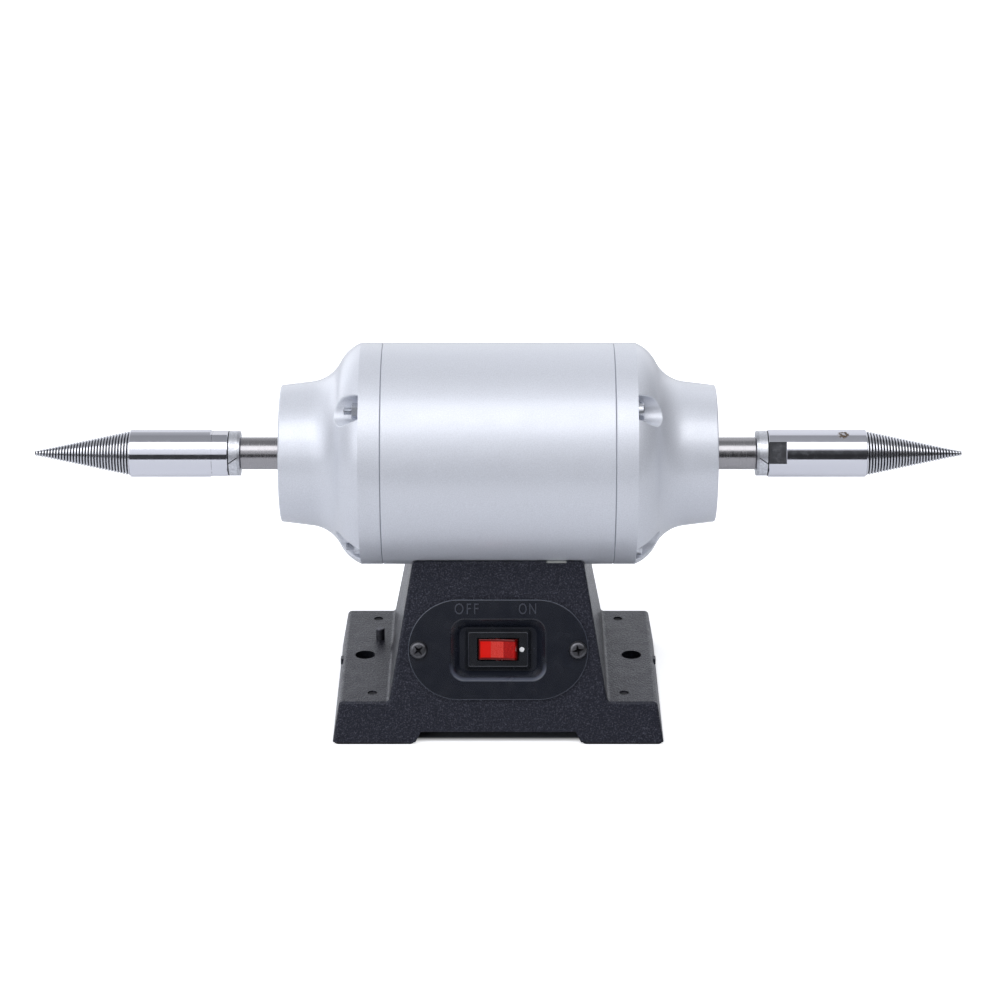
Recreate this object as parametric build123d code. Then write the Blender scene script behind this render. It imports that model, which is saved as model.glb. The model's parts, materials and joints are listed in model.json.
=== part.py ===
from build123d import *
import os
from math import atan2, cos, degrees, hypot, radians, sin, sqrt, tan

# Two-ended polishing lathe for a dental laboratory: an enclosed induction motor on a cast pedestal,
# with a rocker switch in front and a tapered, threaded spindle for polishing wheels on each side.
#
# Sizes are in millimetres. +X runs along the spindle axis to the operator's right, +Y points away
# from the operator and +Z up. The origin is on the table, below the middle of the motor.

# ------------------------------------------------------------------ clearances
FIT_GAP = 0.05  # radial, between a bored seat and what is pressed or slid into it
SCREW_GAP = 0.25  # radial, round a screw in a plain hole
RUNNING_GAP = 0.3  # between a turning piece and what stands still beside it
PANEL_GAP = 0.4  # round a plate or switch in its opening
CUT = 1.0  # how far a cut runs past the face that it opens
PICK = 0.05  # how near a corner has to lie to be picked by its place

# ------------------------------------------------------------------ pedestal casting
AXIS_HEIGHT = 130.2  # table to the spindle axis
BASE_LENGTH = 164.0  # over both feet, at the table
BASE_DEPTH = 126.4  # front to back, at the table
FOOT_HEIGHT = 20.3  # table to the top of a foot
FOOT_DRAFT = 9.5  # degrees, lean of a foot's outer side
FACE_LEAN = 18.2  # degrees, lean of the front and back faces
NECK_WIDTH = 108.2  # across the neck, where it meets the feet
NECK_LEAN = 10.2  # degrees, lean of the neck's sides
NOTCH_WIDTH = 76.6  # of the shallow arch between the feet
NOTCH_HEIGHT = 5.0
NOTCH_SLANT = 2.6  # sideways run of the arch's slanted ends
CAVITY_INSET = 0.5  # side of the hollow inside the end of the arch
CASTING_WALL = 5.0
SADDLE_WEB = 7.0  # iron between the motor and the hollow below it
SADDLE_GAP = 0.1  # paint between the saddle and the motor
EDGE_RADIUS = 1.5  # of the casting's outer edges
INNER_RADIUS = 2.0  # of the hollow corner between a foot and the neck
CORNER_RADIUS = 2.2  # of a foot's top outer corner, seen from the front
LIP_RADIUS = 3.0  # of the saddle lip's ends, seen from the front
LIP_LAND = 1.2  # flat top of the saddle's front and back lips
FOOT_ROOF = 6.0  # iron above the pocket in a foot
FOOT_RIM = 5.0  # iron round that pocket
NUB_WIDTH = 4.0  # trimmed gate of the casting, on each foot's outer side
NUB_HEIGHT = 3.0
NUB_REACH = 1.1
NUB_DROP = 3.0  # its middle below the top of the foot

BOLT_INSET = 14.2  # bench bolt from the end of the base
BOLT_HOLE = 10.0
BOLT_BOSS = 20.0

PAD_THICKNESS = 1.3  # rubber pad under each foot
PAD_INSET = 0.8
STEM_DIAMETER = 4.4  # moulded stems that hold the pads
STEM_HOLE = 4.8
STEM_BOSS = 11.0
STEM_OFFSET = 5.3  # stem nearer the neck than the bolt
STEM_Y = 45.5
STEM_SUNK = 0.6  # stem's tip below the top of the foot

STUD_DIAMETER = 4.5  # earth stud on the left foot
STUD_OFFSET = 7.1  # stud nearer the neck than the bolt
STUD_Y = 20.0
STUD_RISE = 6.0
STUD_CHAMFER = 0.45

# ------------------------------------------------------------------ motor shell
TUBE_OD = 110.0
TUBE_WALL = 2.5
TUBE_LENGTH = 114.0
SEAM_CHAMFER = 0.4  # of the edges that meet where a bell is set against the tube

BELL_LENGTH = 50.5  # seam to rim
BELL_SKIRT = 10.7  # straight part beside the seam
BELL_SLOPE = 22.0  # degrees, where the shoulder leaves the skirt
BELL_SHOULDER_RUN = 10.3  # length of the shoulder's rounded part
BELL_SHOULDER_DROP = 9.4  # its fall towards the axis
BELL_RIM_OD = 67.8
BELL_TAPER = 7.0  # degrees, of the snout
BELL_WALL = 4.5
BELL_END_WALL = 5.0
BELL_RIM_RECESS = 2.0
BELL_RIM_LAND = 4.0  # width of the flat round that recess
RIM_RADIUS = 0.8
SPIGOT_LENGTH = 4.0
SPIGOT_WALL = 3.0
BEARING_HOUSING_WALL = 5.0

THROUGH_BOLT = 4.0
THROUGH_BOLT_INSET = 5.0  # its axis below the outside of the tube
THROUGH_BOLT_ANGLE = 45.0  # degrees, of the first of four
POCKET_DIAMETER = 14.5  # spot-faced pocket round each bolt end
POCKET_WALL = 3.0
POCKET_EDGE = 0.7  # rounding where a pocket breaks through the shoulder
HEAD_DIAMETER = 8.4
HEAD_HEIGHT = 3.0
HEAD_ROUNDING = 0.9
BOLT_GROOVE_GAP = 1.0  # between a bolt and its groove in the stator core
NUT_ACROSS_FLATS = 7.0
NUT_HEIGHT = 3.0
THREAD_STUB = 4.0  # bolt left standing out of its nut

# ------------------------------------------------------------------ stator and rotor
CORE_LENGTH = 54.0
STATOR_BORE = 60.0
STATOR_SLOTS = 24
SLOT_MOUTH = 2.4
SLOT_LIP = 1.5
SLOT_DEPTH = 11.0
SLOT_WIDTH_IN = 4.0
SLOT_WIDTH_OUT = 6.6
SLOT_LINER = 0.3
WINDING_OVERHANG = 17.0
WINDING_BULGE = 1.0  # end turns beyond the slots
WINDING_CHAMFER = 3.5  # of the lashed end turns
ROTOR_GAP = 0.35  # radial air gap
END_RING_THICKNESS = 8.0
END_RING_BORE = 32.0
FIN_COUNT = 8
FIN_LENGTH = 7.0
FIN_THICKNESS = 2.5
FIN_HEIGHT = 8.0
FIN_INSET = 1.0  # fin below the edge of its ring

# ------------------------------------------------------------------ shaft and bearings
SHAFT_BODY = 22.0
BEARING_BORE = 17.0
BEARING_OD = 40.0
BEARING_WIDTH = 12.0
BEARING_INNER_LAND = 24.4
BEARING_OUTER_LAND = 32.6
SHIELD_THICKNESS = 0.5
SHIELD_SUNK = 0.4
WAVE_WASHER = 1.0
SHAFT_OD = 16.0
SHAFT_EXPOSED = 20.5  # rim of the bell to the shaft's shoulder
STUB_DIAMETER = 12.0
STUB_LENGTH = 48.0
SEAL_OD = 26.0
SEAL_WIDTH = 3.0
SHOULDER_CHAMFER = 0.5

# ------------------------------------------------------------------ spindles
COLLAR_OD = 22.2
THRUST_WASHER = 1.25
LOCK_WASHER = 4.6
LOCK_SPLIT = 0.5
LOCK_SPLIT_ANGLE = 35.0  # degrees
SPINDLE_OD = 23.5
SPINDLE_BARREL = 48.6
SPINDLE_TAPER_LENGTH = 48.0
SPINDLE_TIP = 2.0
SPINDLE_TIP_CHAMFER = 0.5
SPINDLE_FLATS = 20.8  # across the spanner flats
SPINDLE_FLAT_LENGTH = 8.8
SPINDLE_CHAMFER = 0.3
SPINDLE_BORE_EXTRA = 3.0  # blind bore beyond the shaft's end
LEFT_FLATS_TURN = 170.0  # degrees, how the screwed-on spindles came to rest
RIGHT_FLATS_TURN = 68.0

# ------------------------------------------------------------------ switch plate and switch
PLATE_LENGTH = 89.0
PLATE_WIDTH = 49.7
PLATE_THICKNESS = 1.6
PLATE_HEIGHT = 45.1  # of the plate's middle above the table
PLATE_SCREW_INSET = 5.25  # plate screw from the end of the plate
PLATE_EDGE = 0.5  # rounding of the plate's rim
DISH_LENGTH = 47.0
DISH_WIDTH = 30.5
DISH_DEPTH = 4.6
DISH_SLOPE = 4.4  # sideways run of the dish's wall
DISH_CORNER = 7.0
DISH_EDGE = 0.8  # rounding of the dish's rim
DISH_CORNER_SHRINK = 0.8  # how much a corner tightens for each millimetre down the slope
PLATE_SCREW = 4.0
PLATE_SCREW_LENGTH = 7.0  # below the plate
PLATE_SCREW_HEAD = 8.7
PLATE_SCREW_HEAD_HEIGHT = 2.8
PLATE_SCREW_HEAD_ROUNDING = 1.7

BEZEL_LENGTH = 32.3
BEZEL_WIDTH = 20.0
BEZEL_HEIGHT = 2.6
BEZEL_BEVEL = 1.3
BEZEL_CORNER = 1.6
SWITCH_BODY_LENGTH = 28.4
SWITCH_BODY_WIDTH = 16.4
SWITCH_BODY_DEPTH = 21.0
ROCKER_LENGTH = 17.9
ROCKER_WIDTH = 10.2
ROCKER_GAP = 0.6  # round the rocker in its well
ROCKER_MIDDLE = 6.4  # length of its flat middle facet
ROCKER_ANGLE = 10.0  # degrees, of each end facet from the middle one, and of the rocker's tilt
ROCKER_RISE = 3.0  # middle facet above the pivot
ROCKER_PROUD = 0.4  # middle facet above the bezel
ROCKER_KEEL = 1.2  # flat underside below the pivot
ROCKER_HUB = 6.0
PIVOT_DIAMETER = 3.0
PIVOT_LENGTH = 1.4
ROCKER_WELL = 5.6  # well below the pivot
TERMINAL_WIDTH = 6.3
TERMINAL_THICKNESS = 0.8
TERMINAL_LENGTH = 8.0
TERMINAL_SPREAD_X = 16.0
TERMINAL_SPREAD_U = 8.0

# ------------------------------------------------------------------ inside the pedestal
COVER_THICKNESS = 1.2
COVER_SUNK = 2.0  # cover above the roof of the arch
COVER_BOSS = 9.0
COVER_BOSS_SINK = 0.8  # boss let into the walls beside it
COVER_HEAD_DIAMETER = 6.8
COVER_SCREW = 4.0
COVER_SCREW_LENGTH = 9.0
COVER_HEAD_HEIGHT = 1.8
COVER_BOSS_HEIGHT = 20.0
MOUNT_SCREW = 6.0
MOUNT_SCREW_SPACING = 34.0
MOUNT_BOSS = 16.0
MOUNT_BOSS_DROP = 1.0
MOUNT_WASHER = 1.6
MOUNT_WASHER_OD = 12.8
MOUNT_HEAD_DIAMETER = 10.0
MOUNT_HEAD_HEIGHT = 6.0
MOUNT_SCREW_GRIP = 6.0  # thread inside the stator core
LEAD_DIAMETER = 5.0
LEAD_HOLE = 9.0
LEAD_FLANGE = 1.5
LEAD_INSET = 4.0  # lead hole beyond the end of the core
LEAD_Y = -8.0
LEAD_END_GAP = 0.3  # between a lead's end and what it is joined to
CAPACITOR_DIAMETER = 30.0
CAPACITOR_LENGTH = 46.0
CAPACITOR_CHAMFER = 1.0
CAPACITOR_X = 13.0
STRAP_THICKNESS = 1.0
STRAP_WIDTH = 12.0
STRAP_FOOT = 7.0
STRAP_SCREW = 3.0
STRAP_SCREW_HEAD = 5.0
STRAP_SCREW_HEAD_HEIGHT = 1.5
BLOCK_LENGTH = 38.0
BLOCK_WIDTH = 13.0
BLOCK_HEIGHT = 14.0
BLOCK_WAYS = 4
BLOCK_GAP = 1.5  # between the block and the strap's foot
BLOCK_SCREW = 4.0
BLOCK_SCREW_LENGTH = 4.0
BLOCK_SCREW_DEPTH = 7.0  # foot of a screw below the top of the block
SWITCH_LEAD_DIAMETER = 4.0
SWITCH_LEAD_BEND = 4.0
SWITCH_LEAD_RUN = 6.0  # straight behind the switch
SWITCH_LEAD_DROP = 12.0  # down into the terminal block
INLET_BORE = 8.5
INLET_X = -20.0
INLET_HEIGHT = 25.0
GROMMET_WALL = 2.5
GROMMET_FLANGE = 2.5
GROMMET_FLANGE_THICKNESS = 2.0

# ------------------------------------------------------------------ places that follow from them
BOLT_X = BASE_LENGTH / 2 - BOLT_INSET
STEM_X = BOLT_X - STEM_OFFSET
STUD_X = STUD_OFFSET - BOLT_X
PLATE_SCREW_X = PLATE_LENGTH / 2 - PLATE_SCREW_INSET
TUBE_R = TUBE_OD / 2
TUBE_BORE_R = TUBE_R - TUBE_WALL
SEAM_X = TUBE_LENGTH / 2
RIM_X = SEAM_X + BELL_LENGTH
CORE_X = CORE_LENGTH / 2
BOLT_CIRCLE_R = TUBE_R - THROUGH_BOLT_INSET
BOLT_SEAT_X = SEAM_X + BELL_SKIRT
END_WALL_X = RIM_X - BELL_RIM_RECESS - BELL_END_WALL  # inner side of a bell's end wall
BEARING_OUT_X = END_WALL_X - WAVE_WASHER
BEARING_IN_X = BEARING_OUT_X - BEARING_WIDTH
SHOULDER_X = RIM_X + SHAFT_EXPOSED
LOCK_X = SHOULDER_X + THRUST_WASHER
BARREL_X = LOCK_X + LOCK_WASHER
TAPER_X = BARREL_X + SPINDLE_BARREL
TIP_X = TAPER_X + SPINDLE_TAPER_LENGTH
SLOT_R = STATOR_BORE / 2 + SLOT_LIP
LEAD_X = CORE_X + LEAD_INSET
BLOCK_PITCH = BLOCK_LENGTH / BLOCK_WAYS
BLOCK_X = LEAD_X - BLOCK_PITCH * (BLOCK_WAYS - 1) / 2  # the motor leads drop into its last way
CAPACITOR_Y = LEAD_Y + BLOCK_WIDTH / 2 + BLOCK_GAP + STRAP_FOOT + CAPACITOR_DIAMETER / 2
WINDING_R = SLOT_R + SLOT_DEPTH + WINDING_BULGE

ARCH_Z = PAD_THICKNESS + NOTCH_HEIGHT
COVER_Z = ARCH_Z + COVER_SUNK
FLOOR_Z = COVER_Z + COVER_THICKNESS  # top of the bottom cover
CAVITY_X = NOTCH_WIDTH / 2 - CAVITY_INSET
POCKET_Z = FOOT_HEIGHT - FOOT_ROOF
STAY_Z = AXIS_HEIGHT - TUBE_R - SADDLE_WEB  # underside of the saddle web
BLOCK_TOP = FLOOR_Z + BLOCK_HEIGHT


def face_y(z):
    """Half the casting's depth at height z."""
    return BASE_DEPTH / 2 - z * tan(radians(FACE_LEAN))


def neck_x(z):
    """Half the neck's width at height z."""
    return NECK_WIDTH / 2 - (z - FOOT_HEIGHT) * tan(radians(NECK_LEAN))


def foot_x(z):
    """Half the width over both feet at height z."""
    return BASE_LENGTH / 2 - z * tan(radians(FOOT_DRAFT))


def lip_height():
    """Height at which a leaning face is LIP_LAND thick over the round bed of the saddle."""
    lean, bed = tan(radians(FACE_LEAN)), TUBE_R + SADDLE_GAP
    offset_y = face_y(AXIS_HEIGHT) - LIP_LAND
    root = sqrt((offset_y * lean) ** 2 - (1 + lean**2) * (offset_y**2 - bed**2))
    return AXIS_HEIGHT - (root - offset_y * lean) / (1 + lean**2)


WALL_ACROSS = CASTING_WALL / cos(radians(FACE_LEAN))  # the leaning wall, measured level
PANEL = Plane(
    origin=(0, -face_y(PLATE_HEIGHT), PLATE_HEIGHT),
    x_dir=(1, 0, 0),
    z_dir=(0, -cos(radians(FACE_LEAN)), sin(radians(FACE_LEAN))),
)  # lies on the leaning front face; its z points out of the casting
INLET = Plane(
    origin=(INLET_X, face_y(INLET_HEIGHT), INLET_HEIGHT),
    x_dir=(1, 0, 0),
    z_dir=(0, cos(radians(FACE_LEAN)), sin(radians(FACE_LEAN))),
)  # lies on the leaning back face
DISH_FLOOR = PLATE_THICKNESS - DISH_DEPTH  # on the panel's z
BEZEL_TOP = DISH_FLOOR + BEZEL_HEIGHT
PIVOT_N = BEZEL_TOP + ROCKER_PROUD - ROCKER_RISE
ROCKER_END_RISE = (ROCKER_LENGTH - ROCKER_MIDDLE) / 2 * tan(radians(ROCKER_ANGLE))
ROCKER_END_R = hypot(ROCKER_LENGTH / 2, ROCKER_RISE + ROCKER_END_RISE)


# ------------------------------------------------------------------ small helpers
def rod(x0, x1, radius, y=0.0, z=0.0):
    """Cylinder along X."""
    return extrude(Plane((x0, y, z), x_dir=(0, 1, 0), z_dir=(1, 0, 0)) * Circle(radius), x1 - x0)


def ring(x0, x1, outer, inner):
    """Plain ring round the X axis."""
    return rod(x0, x1, outer) - rod(x0, x1, inner)


def post(x, y, z0, z1, radius):
    """Cylinder along Z."""
    return extrude(Plane((x, y, z0)) * Circle(radius), z1 - z0)


def turned(*points):
    """Solid of revolution round the X axis, from (x, radius) corners."""
    return revolve(Plane.XZ * make_face(Polyline(*points, close=True)), Axis.X)


def block(x0, x1, y0, y1, z0, z1):
    """Box between two corners."""
    middle = ((x0 + x1) / 2, (y0 + y1) / 2, (z0 + z1) / 2)
    return Pos(*middle) * Box(abs(x1 - x0), abs(y1 - y0), abs(z1 - z0))


def at_axis(shape):
    """Lift a piece that was made round the X axis to the height of the spindle axis."""
    return Pos(0, 0, AXIS_HEIGHT) * shape


def other_side(shape):
    """The left-hand copy of a right-hand piece."""
    return mirror(shape, Plane.YZ)


def turned_round(shape):
    """The same piece on the left, turned half round the upright axis."""
    return Rot(0, 0, 180) * shape


def bolt_places():
    """Angle, y and z of the four through bolts round the motor axis."""
    for index in range(4):
        angle = radians(THROUGH_BOLT_ANGLE + 90 * index)
        yield degrees(angle), BOLT_CIRCLE_R * cos(angle), BOLT_CIRCLE_R * sin(angle)


# ------------------------------------------------------------------ pedestal
def pedestal_envelope():
    """The outside of the casting: its front outline, leaned at front and back, with rounded edges."""
    top = lip_height()
    half = [
        (NOTCH_WIDTH / 2, ARCH_Z),
        (NOTCH_WIDTH / 2 + NOTCH_SLANT, PAD_THICKNESS),
        (foot_x(PAD_THICKNESS), PAD_THICKNESS),
        (foot_x(FOOT_HEIGHT), FOOT_HEIGHT),
        (neck_x(FOOT_HEIGHT), FOOT_HEIGHT),
        (neck_x(top), top),
    ]
    front = make_face(Polyline(*half, *[(-x, z) for x, z in reversed(half)], close=True))
    for corner, radius in ((half[3], CORNER_RADIUS), (half[4], INNER_RADIUS), (half[5], LIP_RADIUS)):
        near = [v for v in front.vertices() if hypot(abs(v.X) - corner[0], v.Y - corner[1]) < PICK]
        front = fillet(near, radius)
    low, high = face_y(PAD_THICKNESS), face_y(top)
    corners = [(-low, PAD_THICKNESS), (low, PAD_THICKNESS), (high, top), (-high, top)]
    side = make_face(Polyline(*corners, close=True))
    body = extrude(Plane.XZ * front, BASE_DEPTH, both=True)
    body &= extrude(Plane.YZ * side, BASE_LENGTH, both=True)
    faces = [f for f in body.faces() if abs(f.normal_at().Y) > 0.5]
    edges = [e for f in faces for e in f.edges() if e.center().Z > ARCH_Z + PICK]
    return fillet(edges, EDGE_RADIUS)


def pedestal_hollow():
    """The hollow of the neck, open below, with the saddle web left above it."""
    low, high = ARCH_Z - CUT, AXIS_HEIGHT
    side = make_face(
        Polyline(
            (-face_y(low) + WALL_ACROSS, low),
            (face_y(low) - WALL_ACROSS, low),
            (face_y(high) - WALL_ACROSS, high),
            (-face_y(high) + WALL_ACROSS, high),
            close=True,
        )
    )
    hollow = extrude(Plane.YZ * side, CAVITY_X, both=True)
    return hollow - at_axis(rod(-BASE_LENGTH, BASE_LENGTH, TUBE_R + SADDLE_WEB))


def foot_pocket():
    """The pocket under the right foot, round its bosses."""
    x0 = CAVITY_X + FOOT_RIM
    x1 = foot_x(POCKET_Z) - FOOT_RIM
    depth = 2 * (face_y(POCKET_Z) - FOOT_RIM)
    pocket = Pos((x0 + x1) / 2, 0, 0) * RectangleRounded(x1 - x0, depth, FOOT_RIM)
    pocket -= Pos(BOLT_X, 0, 0) * Circle(BOLT_BOSS / 2)
    for y in (-STEM_Y, STEM_Y):
        pocket -= Pos(STEM_X, y, 0) * Circle(STEM_BOSS / 2)
    return extrude(Pos(0, 0, PAD_THICKNESS - CUT) * pocket, POCKET_Z - PAD_THICKNESS + CUT)


def cover_screw_places():
    """The four bosses that the bottom cover is screwed to."""
    x = CAVITY_X - COVER_BOSS / 2 + COVER_BOSS_SINK
    y = face_y(FLOOR_Z) - WALL_ACROSS - COVER_BOSS / 2 + COVER_BOSS_SINK
    return [(sx * x, sy * y) for sx in (-1, 1) for sy in (-1, 1)]


def mount_screw_places():
    """The two screws that hold the motor down, seen from above."""
    return [(-MOUNT_SCREW_SPACING / 2, 0), (MOUNT_SCREW_SPACING / 2, 0)]


def base_casting():
    """Iron pedestal: two hollow feet and a leaning neck with the motor's saddle on top."""
    outside = pedestal_envelope()
    bed = at_axis(rod(-BASE_LENGTH, BASE_LENGTH, TUBE_R + SADDLE_GAP))
    body = outside - bed
    body -= pedestal_hollow()
    bosses = []
    for x, y in cover_screw_places():
        bosses.append(post(x, y, FLOOR_Z, FLOOR_Z + COVER_BOSS_HEIGHT, COVER_BOSS / 2))
    for x, y in mount_screw_places():
        bosses.append(post(x, y, STAY_Z - MOUNT_BOSS_DROP, AXIS_HEIGHT, MOUNT_BOSS / 2))
    body += [(boss & outside) - bed for boss in bosses]
    for pocket in (foot_pocket(), other_side(foot_pocket())):
        body -= pocket
    for side in (-1, 1):
        nub = block(
            side * (foot_x(FOOT_HEIGHT - NUB_DROP) - CUT),
            side * (foot_x(FOOT_HEIGHT - NUB_DROP) + NUB_REACH),
            -NUB_WIDTH / 2,
            NUB_WIDTH / 2,
            FOOT_HEIGHT - NUB_DROP - NUB_HEIGHT / 2,
            FOOT_HEIGHT - NUB_DROP + NUB_HEIGHT / 2,
        )
        body += nub
        body -= post(side * BOLT_X, 0, 0, FOOT_HEIGHT + CUT, BOLT_HOLE / 2)
        for y in (-STEM_Y, STEM_Y):
            body -= post(side * STEM_X, y, 0, FOOT_HEIGHT + CUT, STEM_HOLE / 2)
    body -= post(STUD_X, STUD_Y, POCKET_Z - CUT, FOOT_HEIGHT + CUT, STUD_DIAMETER / 2 + FIT_GAP)
    opening = RectangleRounded(DISH_LENGTH + 2 * PANEL_GAP, DISH_WIDTH + 2 * PANEL_GAP, DISH_CORNER)
    body -= extrude(PANEL * opening, 2 * CASTING_WALL, both=True)
    for x in (-PLATE_SCREW_X, PLATE_SCREW_X):
        body -= extrude(PANEL * Pos(x, 0) * Circle(PLATE_SCREW / 2 + FIT_GAP), -PLATE_SCREW_LENGTH - CUT)
    body -= extrude(INLET * Circle(INLET_BORE / 2 + GROMMET_WALL + FIT_GAP), 2 * CASTING_WALL, both=True)
    for x, y in cover_screw_places():
        body -= post(x, y, FLOOR_Z - CUT, FLOOR_Z + COVER_SCREW_LENGTH, COVER_SCREW / 2 + FIT_GAP)
    for x, y in mount_screw_places():
        body -= post(x, y, FLOOR_Z, AXIS_HEIGHT, MOUNT_SCREW / 2 + SCREW_GAP)
    body -= post(LEAD_X, LEAD_Y, FLOOR_Z, AXIS_HEIGHT, LEAD_HOLE / 2 + FIT_GAP)
    return body


def foot_pads():
    """One moulded rubber pad under each foot, held by two stems that pass up through the foot."""
    x0 = NOTCH_WIDTH / 2 + NOTCH_SLANT + PAD_INSET
    x1 = foot_x(PAD_THICKNESS) - PAD_INSET
    depth = 2 * (face_y(PAD_THICKNESS) - PAD_INSET)
    pad = Pos((x0 + x1) / 2, 0, 0) * RectangleRounded(x1 - x0, depth, FOOT_RIM / 2)
    pad -= Pos(BOLT_X, 0, 0) * Circle(BOLT_HOLE / 2)
    right = extrude(pad, PAD_THICKNESS)
    for y in (-STEM_Y, STEM_Y):
        right += post(STEM_X, y, PAD_THICKNESS / 2, FOOT_HEIGHT - STEM_SUNK, STEM_DIAMETER / 2)
    return [right, other_side(right)]


def earth_stud():
    """Short stud standing on the left foot."""
    stud = post(STUD_X, STUD_Y, POCKET_Z, FOOT_HEIGHT + STUD_RISE, STUD_DIAMETER / 2)
    return [chamfer(stud.edges().sort_by(Axis.Z)[-1], STUD_CHAMFER)]


# ------------------------------------------------------------------ motor shell
def bell_outline():
    """Outside of a bell from its seam to its rim: skirt, round shoulder, hollow and tapered snout."""
    skirt_end = (SEAM_X + BELL_SKIRT, TUBE_R)
    shoulder_end = (skirt_end[0] + BELL_SHOULDER_RUN, TUBE_R - BELL_SHOULDER_DROP)
    rim = (RIM_X, BELL_RIM_OD / 2)
    start, taper = radians(BELL_SLOPE), radians(BELL_TAPER)
    steepest = 2 * atan2(BELL_SHOULDER_DROP, BELL_SHOULDER_RUN) - start
    # the hollow arc leaves the shoulder at its steepest slope and meets the snout at its taper
    middle = (steepest + taper) / 2
    fall = shoulder_end[1] - rim[1] - (rim[0] - shoulder_end[0]) * tan(taper)
    chord = fall / (sin(middle) - cos(middle) * tan(taper))
    hollow_end = (shoulder_end[0] + chord * cos(middle), shoulder_end[1] - chord * sin(middle))
    shoulder = TangentArc(skirt_end, shoulder_end, tangent=(cos(start), -sin(start)))
    hollow = TangentArc(shoulder_end, hollow_end, tangent=(cos(steepest), -sin(steepest)))
    seam = Polyline((SEAM_X, TUBE_R - SEAM_CHAMFER), (SEAM_X + SEAM_CHAMFER, TUBE_R), skirt_end)
    return [seam, shoulder, hollow, Line(hollow_end, rim)]


def bell_envelope():
    """The outline of a bell turned round the axis, filled."""
    closing = Polyline((RIM_X, BELL_RIM_OD / 2), (RIM_X, 0), (SEAM_X, 0), (SEAM_X, TUBE_R - SEAM_CHAMFER))
    return revolve(Plane.XZ * make_face(bell_outline() + [closing]), Axis.X)


def pocket_edges(bell):
    """The edges where the pockets break through the shoulder of a bell."""
    edges = []
    for _, y, z in bolt_places():
        for edge in bell.edges():
            ends = [hypot(edge.position_at(t).Y - y, edge.position_at(t).Z - z) for t in (0, 0.3, 0.7, 1)]
            on_pocket = all(abs(end - POCKET_DIAMETER / 2) < PICK for end in ends)
            if on_pocket and edge.bounding_box().size.X > PICK:
                edges.append(edge)
    return edges


def end_bell(seat_depth):
    """Die-cast end bell of the right side; seat_depth is the room beyond the bearing in its seat."""
    outside = bell_envelope()
    shell = offset(outside, amount=-BELL_WALL, openings=outside.faces().sort_by(Axis.X)[0])
    end = rod(END_WALL_X, RIM_X, BELL_RIM_OD / 2 + BELL_WALL)
    housing = rod(BEARING_IN_X, RIM_X, BEARING_OD / 2 + BEARING_HOUSING_WALL)
    boss_r = POCKET_DIAMETER / 2 + POCKET_WALL
    bosses = [rod(SEAM_X, END_WALL_X, boss_r, y, z) for _, y, z in bolt_places()]
    body = shell + [(piece & outside) for piece in (end, housing, *bosses)]
    body = fillet(body.edges().filter_by(GeomType.CIRCLE).sort_by(Axis.X)[-1], RIM_RADIUS)
    body += ring(
        SEAM_X - SPIGOT_LENGTH, SEAM_X + BELL_WALL, TUBE_BORE_R - FIT_GAP, TUBE_BORE_R - SPIGOT_WALL
    )
    for _, y, z in bolt_places():
        body -= rod(BOLT_SEAT_X, RIM_X, POCKET_DIAMETER / 2, y, z)
        body -= rod(SEAM_X - SPIGOT_LENGTH - CUT, RIM_X, THROUGH_BOLT / 2 + SCREW_GAP, y, z)
    body = fillet(pocket_edges(body), POCKET_EDGE)
    body -= rod(RIM_X - BELL_RIM_RECESS, RIM_X + CUT, BELL_RIM_OD / 2 - BELL_RIM_LAND)
    body -= rod(BEARING_IN_X - CUT, BEARING_OUT_X + seat_depth, BEARING_OD / 2 + FIT_GAP)
    body -= rod(BEARING_IN_X, RIM_X, SHAFT_OD / 2 + 2 * RUNNING_GAP)
    body -= rod(RIM_X - BELL_RIM_RECESS - SEAL_WIDTH, RIM_X, SEAL_OD / 2 + FIT_GAP)
    return body


def motor_tube():
    """Steel tube of the stator, drilled below for its two screws and the leads."""
    outside = chamfer(rod(-SEAM_X, SEAM_X, TUBE_R).edges().filter_by(GeomType.CIRCLE), SEAM_CHAMFER)
    tube = outside - rod(-SEAM_X, SEAM_X, TUBE_BORE_R)
    bottom = -TUBE_R
    for x, y in mount_screw_places():
        tube -= post(x, y, bottom - CUT, bottom + 2 * TUBE_WALL, MOUNT_SCREW / 2 + FIT_GAP)
    tube -= post(LEAD_X, LEAD_Y, bottom - CUT, bottom + 2 * TUBE_WALL, LEAD_DIAMETER / 2 + SCREW_GAP)
    return tube


def through_bolts():
    """Four long bolts, heads on the right, threads on the left."""
    shank_end = -BOLT_SEAT_X - NUT_HEIGHT - THREAD_STUB
    bolts = []
    for _, y, z in bolt_places():
        head = rod(BOLT_SEAT_X, BOLT_SEAT_X + HEAD_HEIGHT, HEAD_DIAMETER / 2, y, z)
        head = fillet(head.edges().sort_by(Axis.X)[-1], HEAD_ROUNDING)
        bolts.append(head + rod(shank_end, BOLT_SEAT_X, THROUGH_BOLT / 2, y, z))
    return bolts


def through_bolt_nuts():
    """Four hexagon nuts in the pockets of the left bell."""
    nuts = []
    for angle, y, z in bolt_places():
        corner_radius = NUT_ACROSS_FLATS / 2 / cos(radians(30))
        seat = Plane((-BOLT_SEAT_X, y, z), x_dir=(0, 1, 0), z_dir=(-1, 0, 0))
        nut = extrude(seat * Rot(0, 0, angle) * RegularPolygon(corner_radius, 6), NUT_HEIGHT)
        hole = rod(-BOLT_SEAT_X - NUT_HEIGHT, -BOLT_SEAT_X, THROUGH_BOLT / 2 + FIT_GAP, y, z)
        nuts.append(nut - hole)
    return nuts


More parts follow.
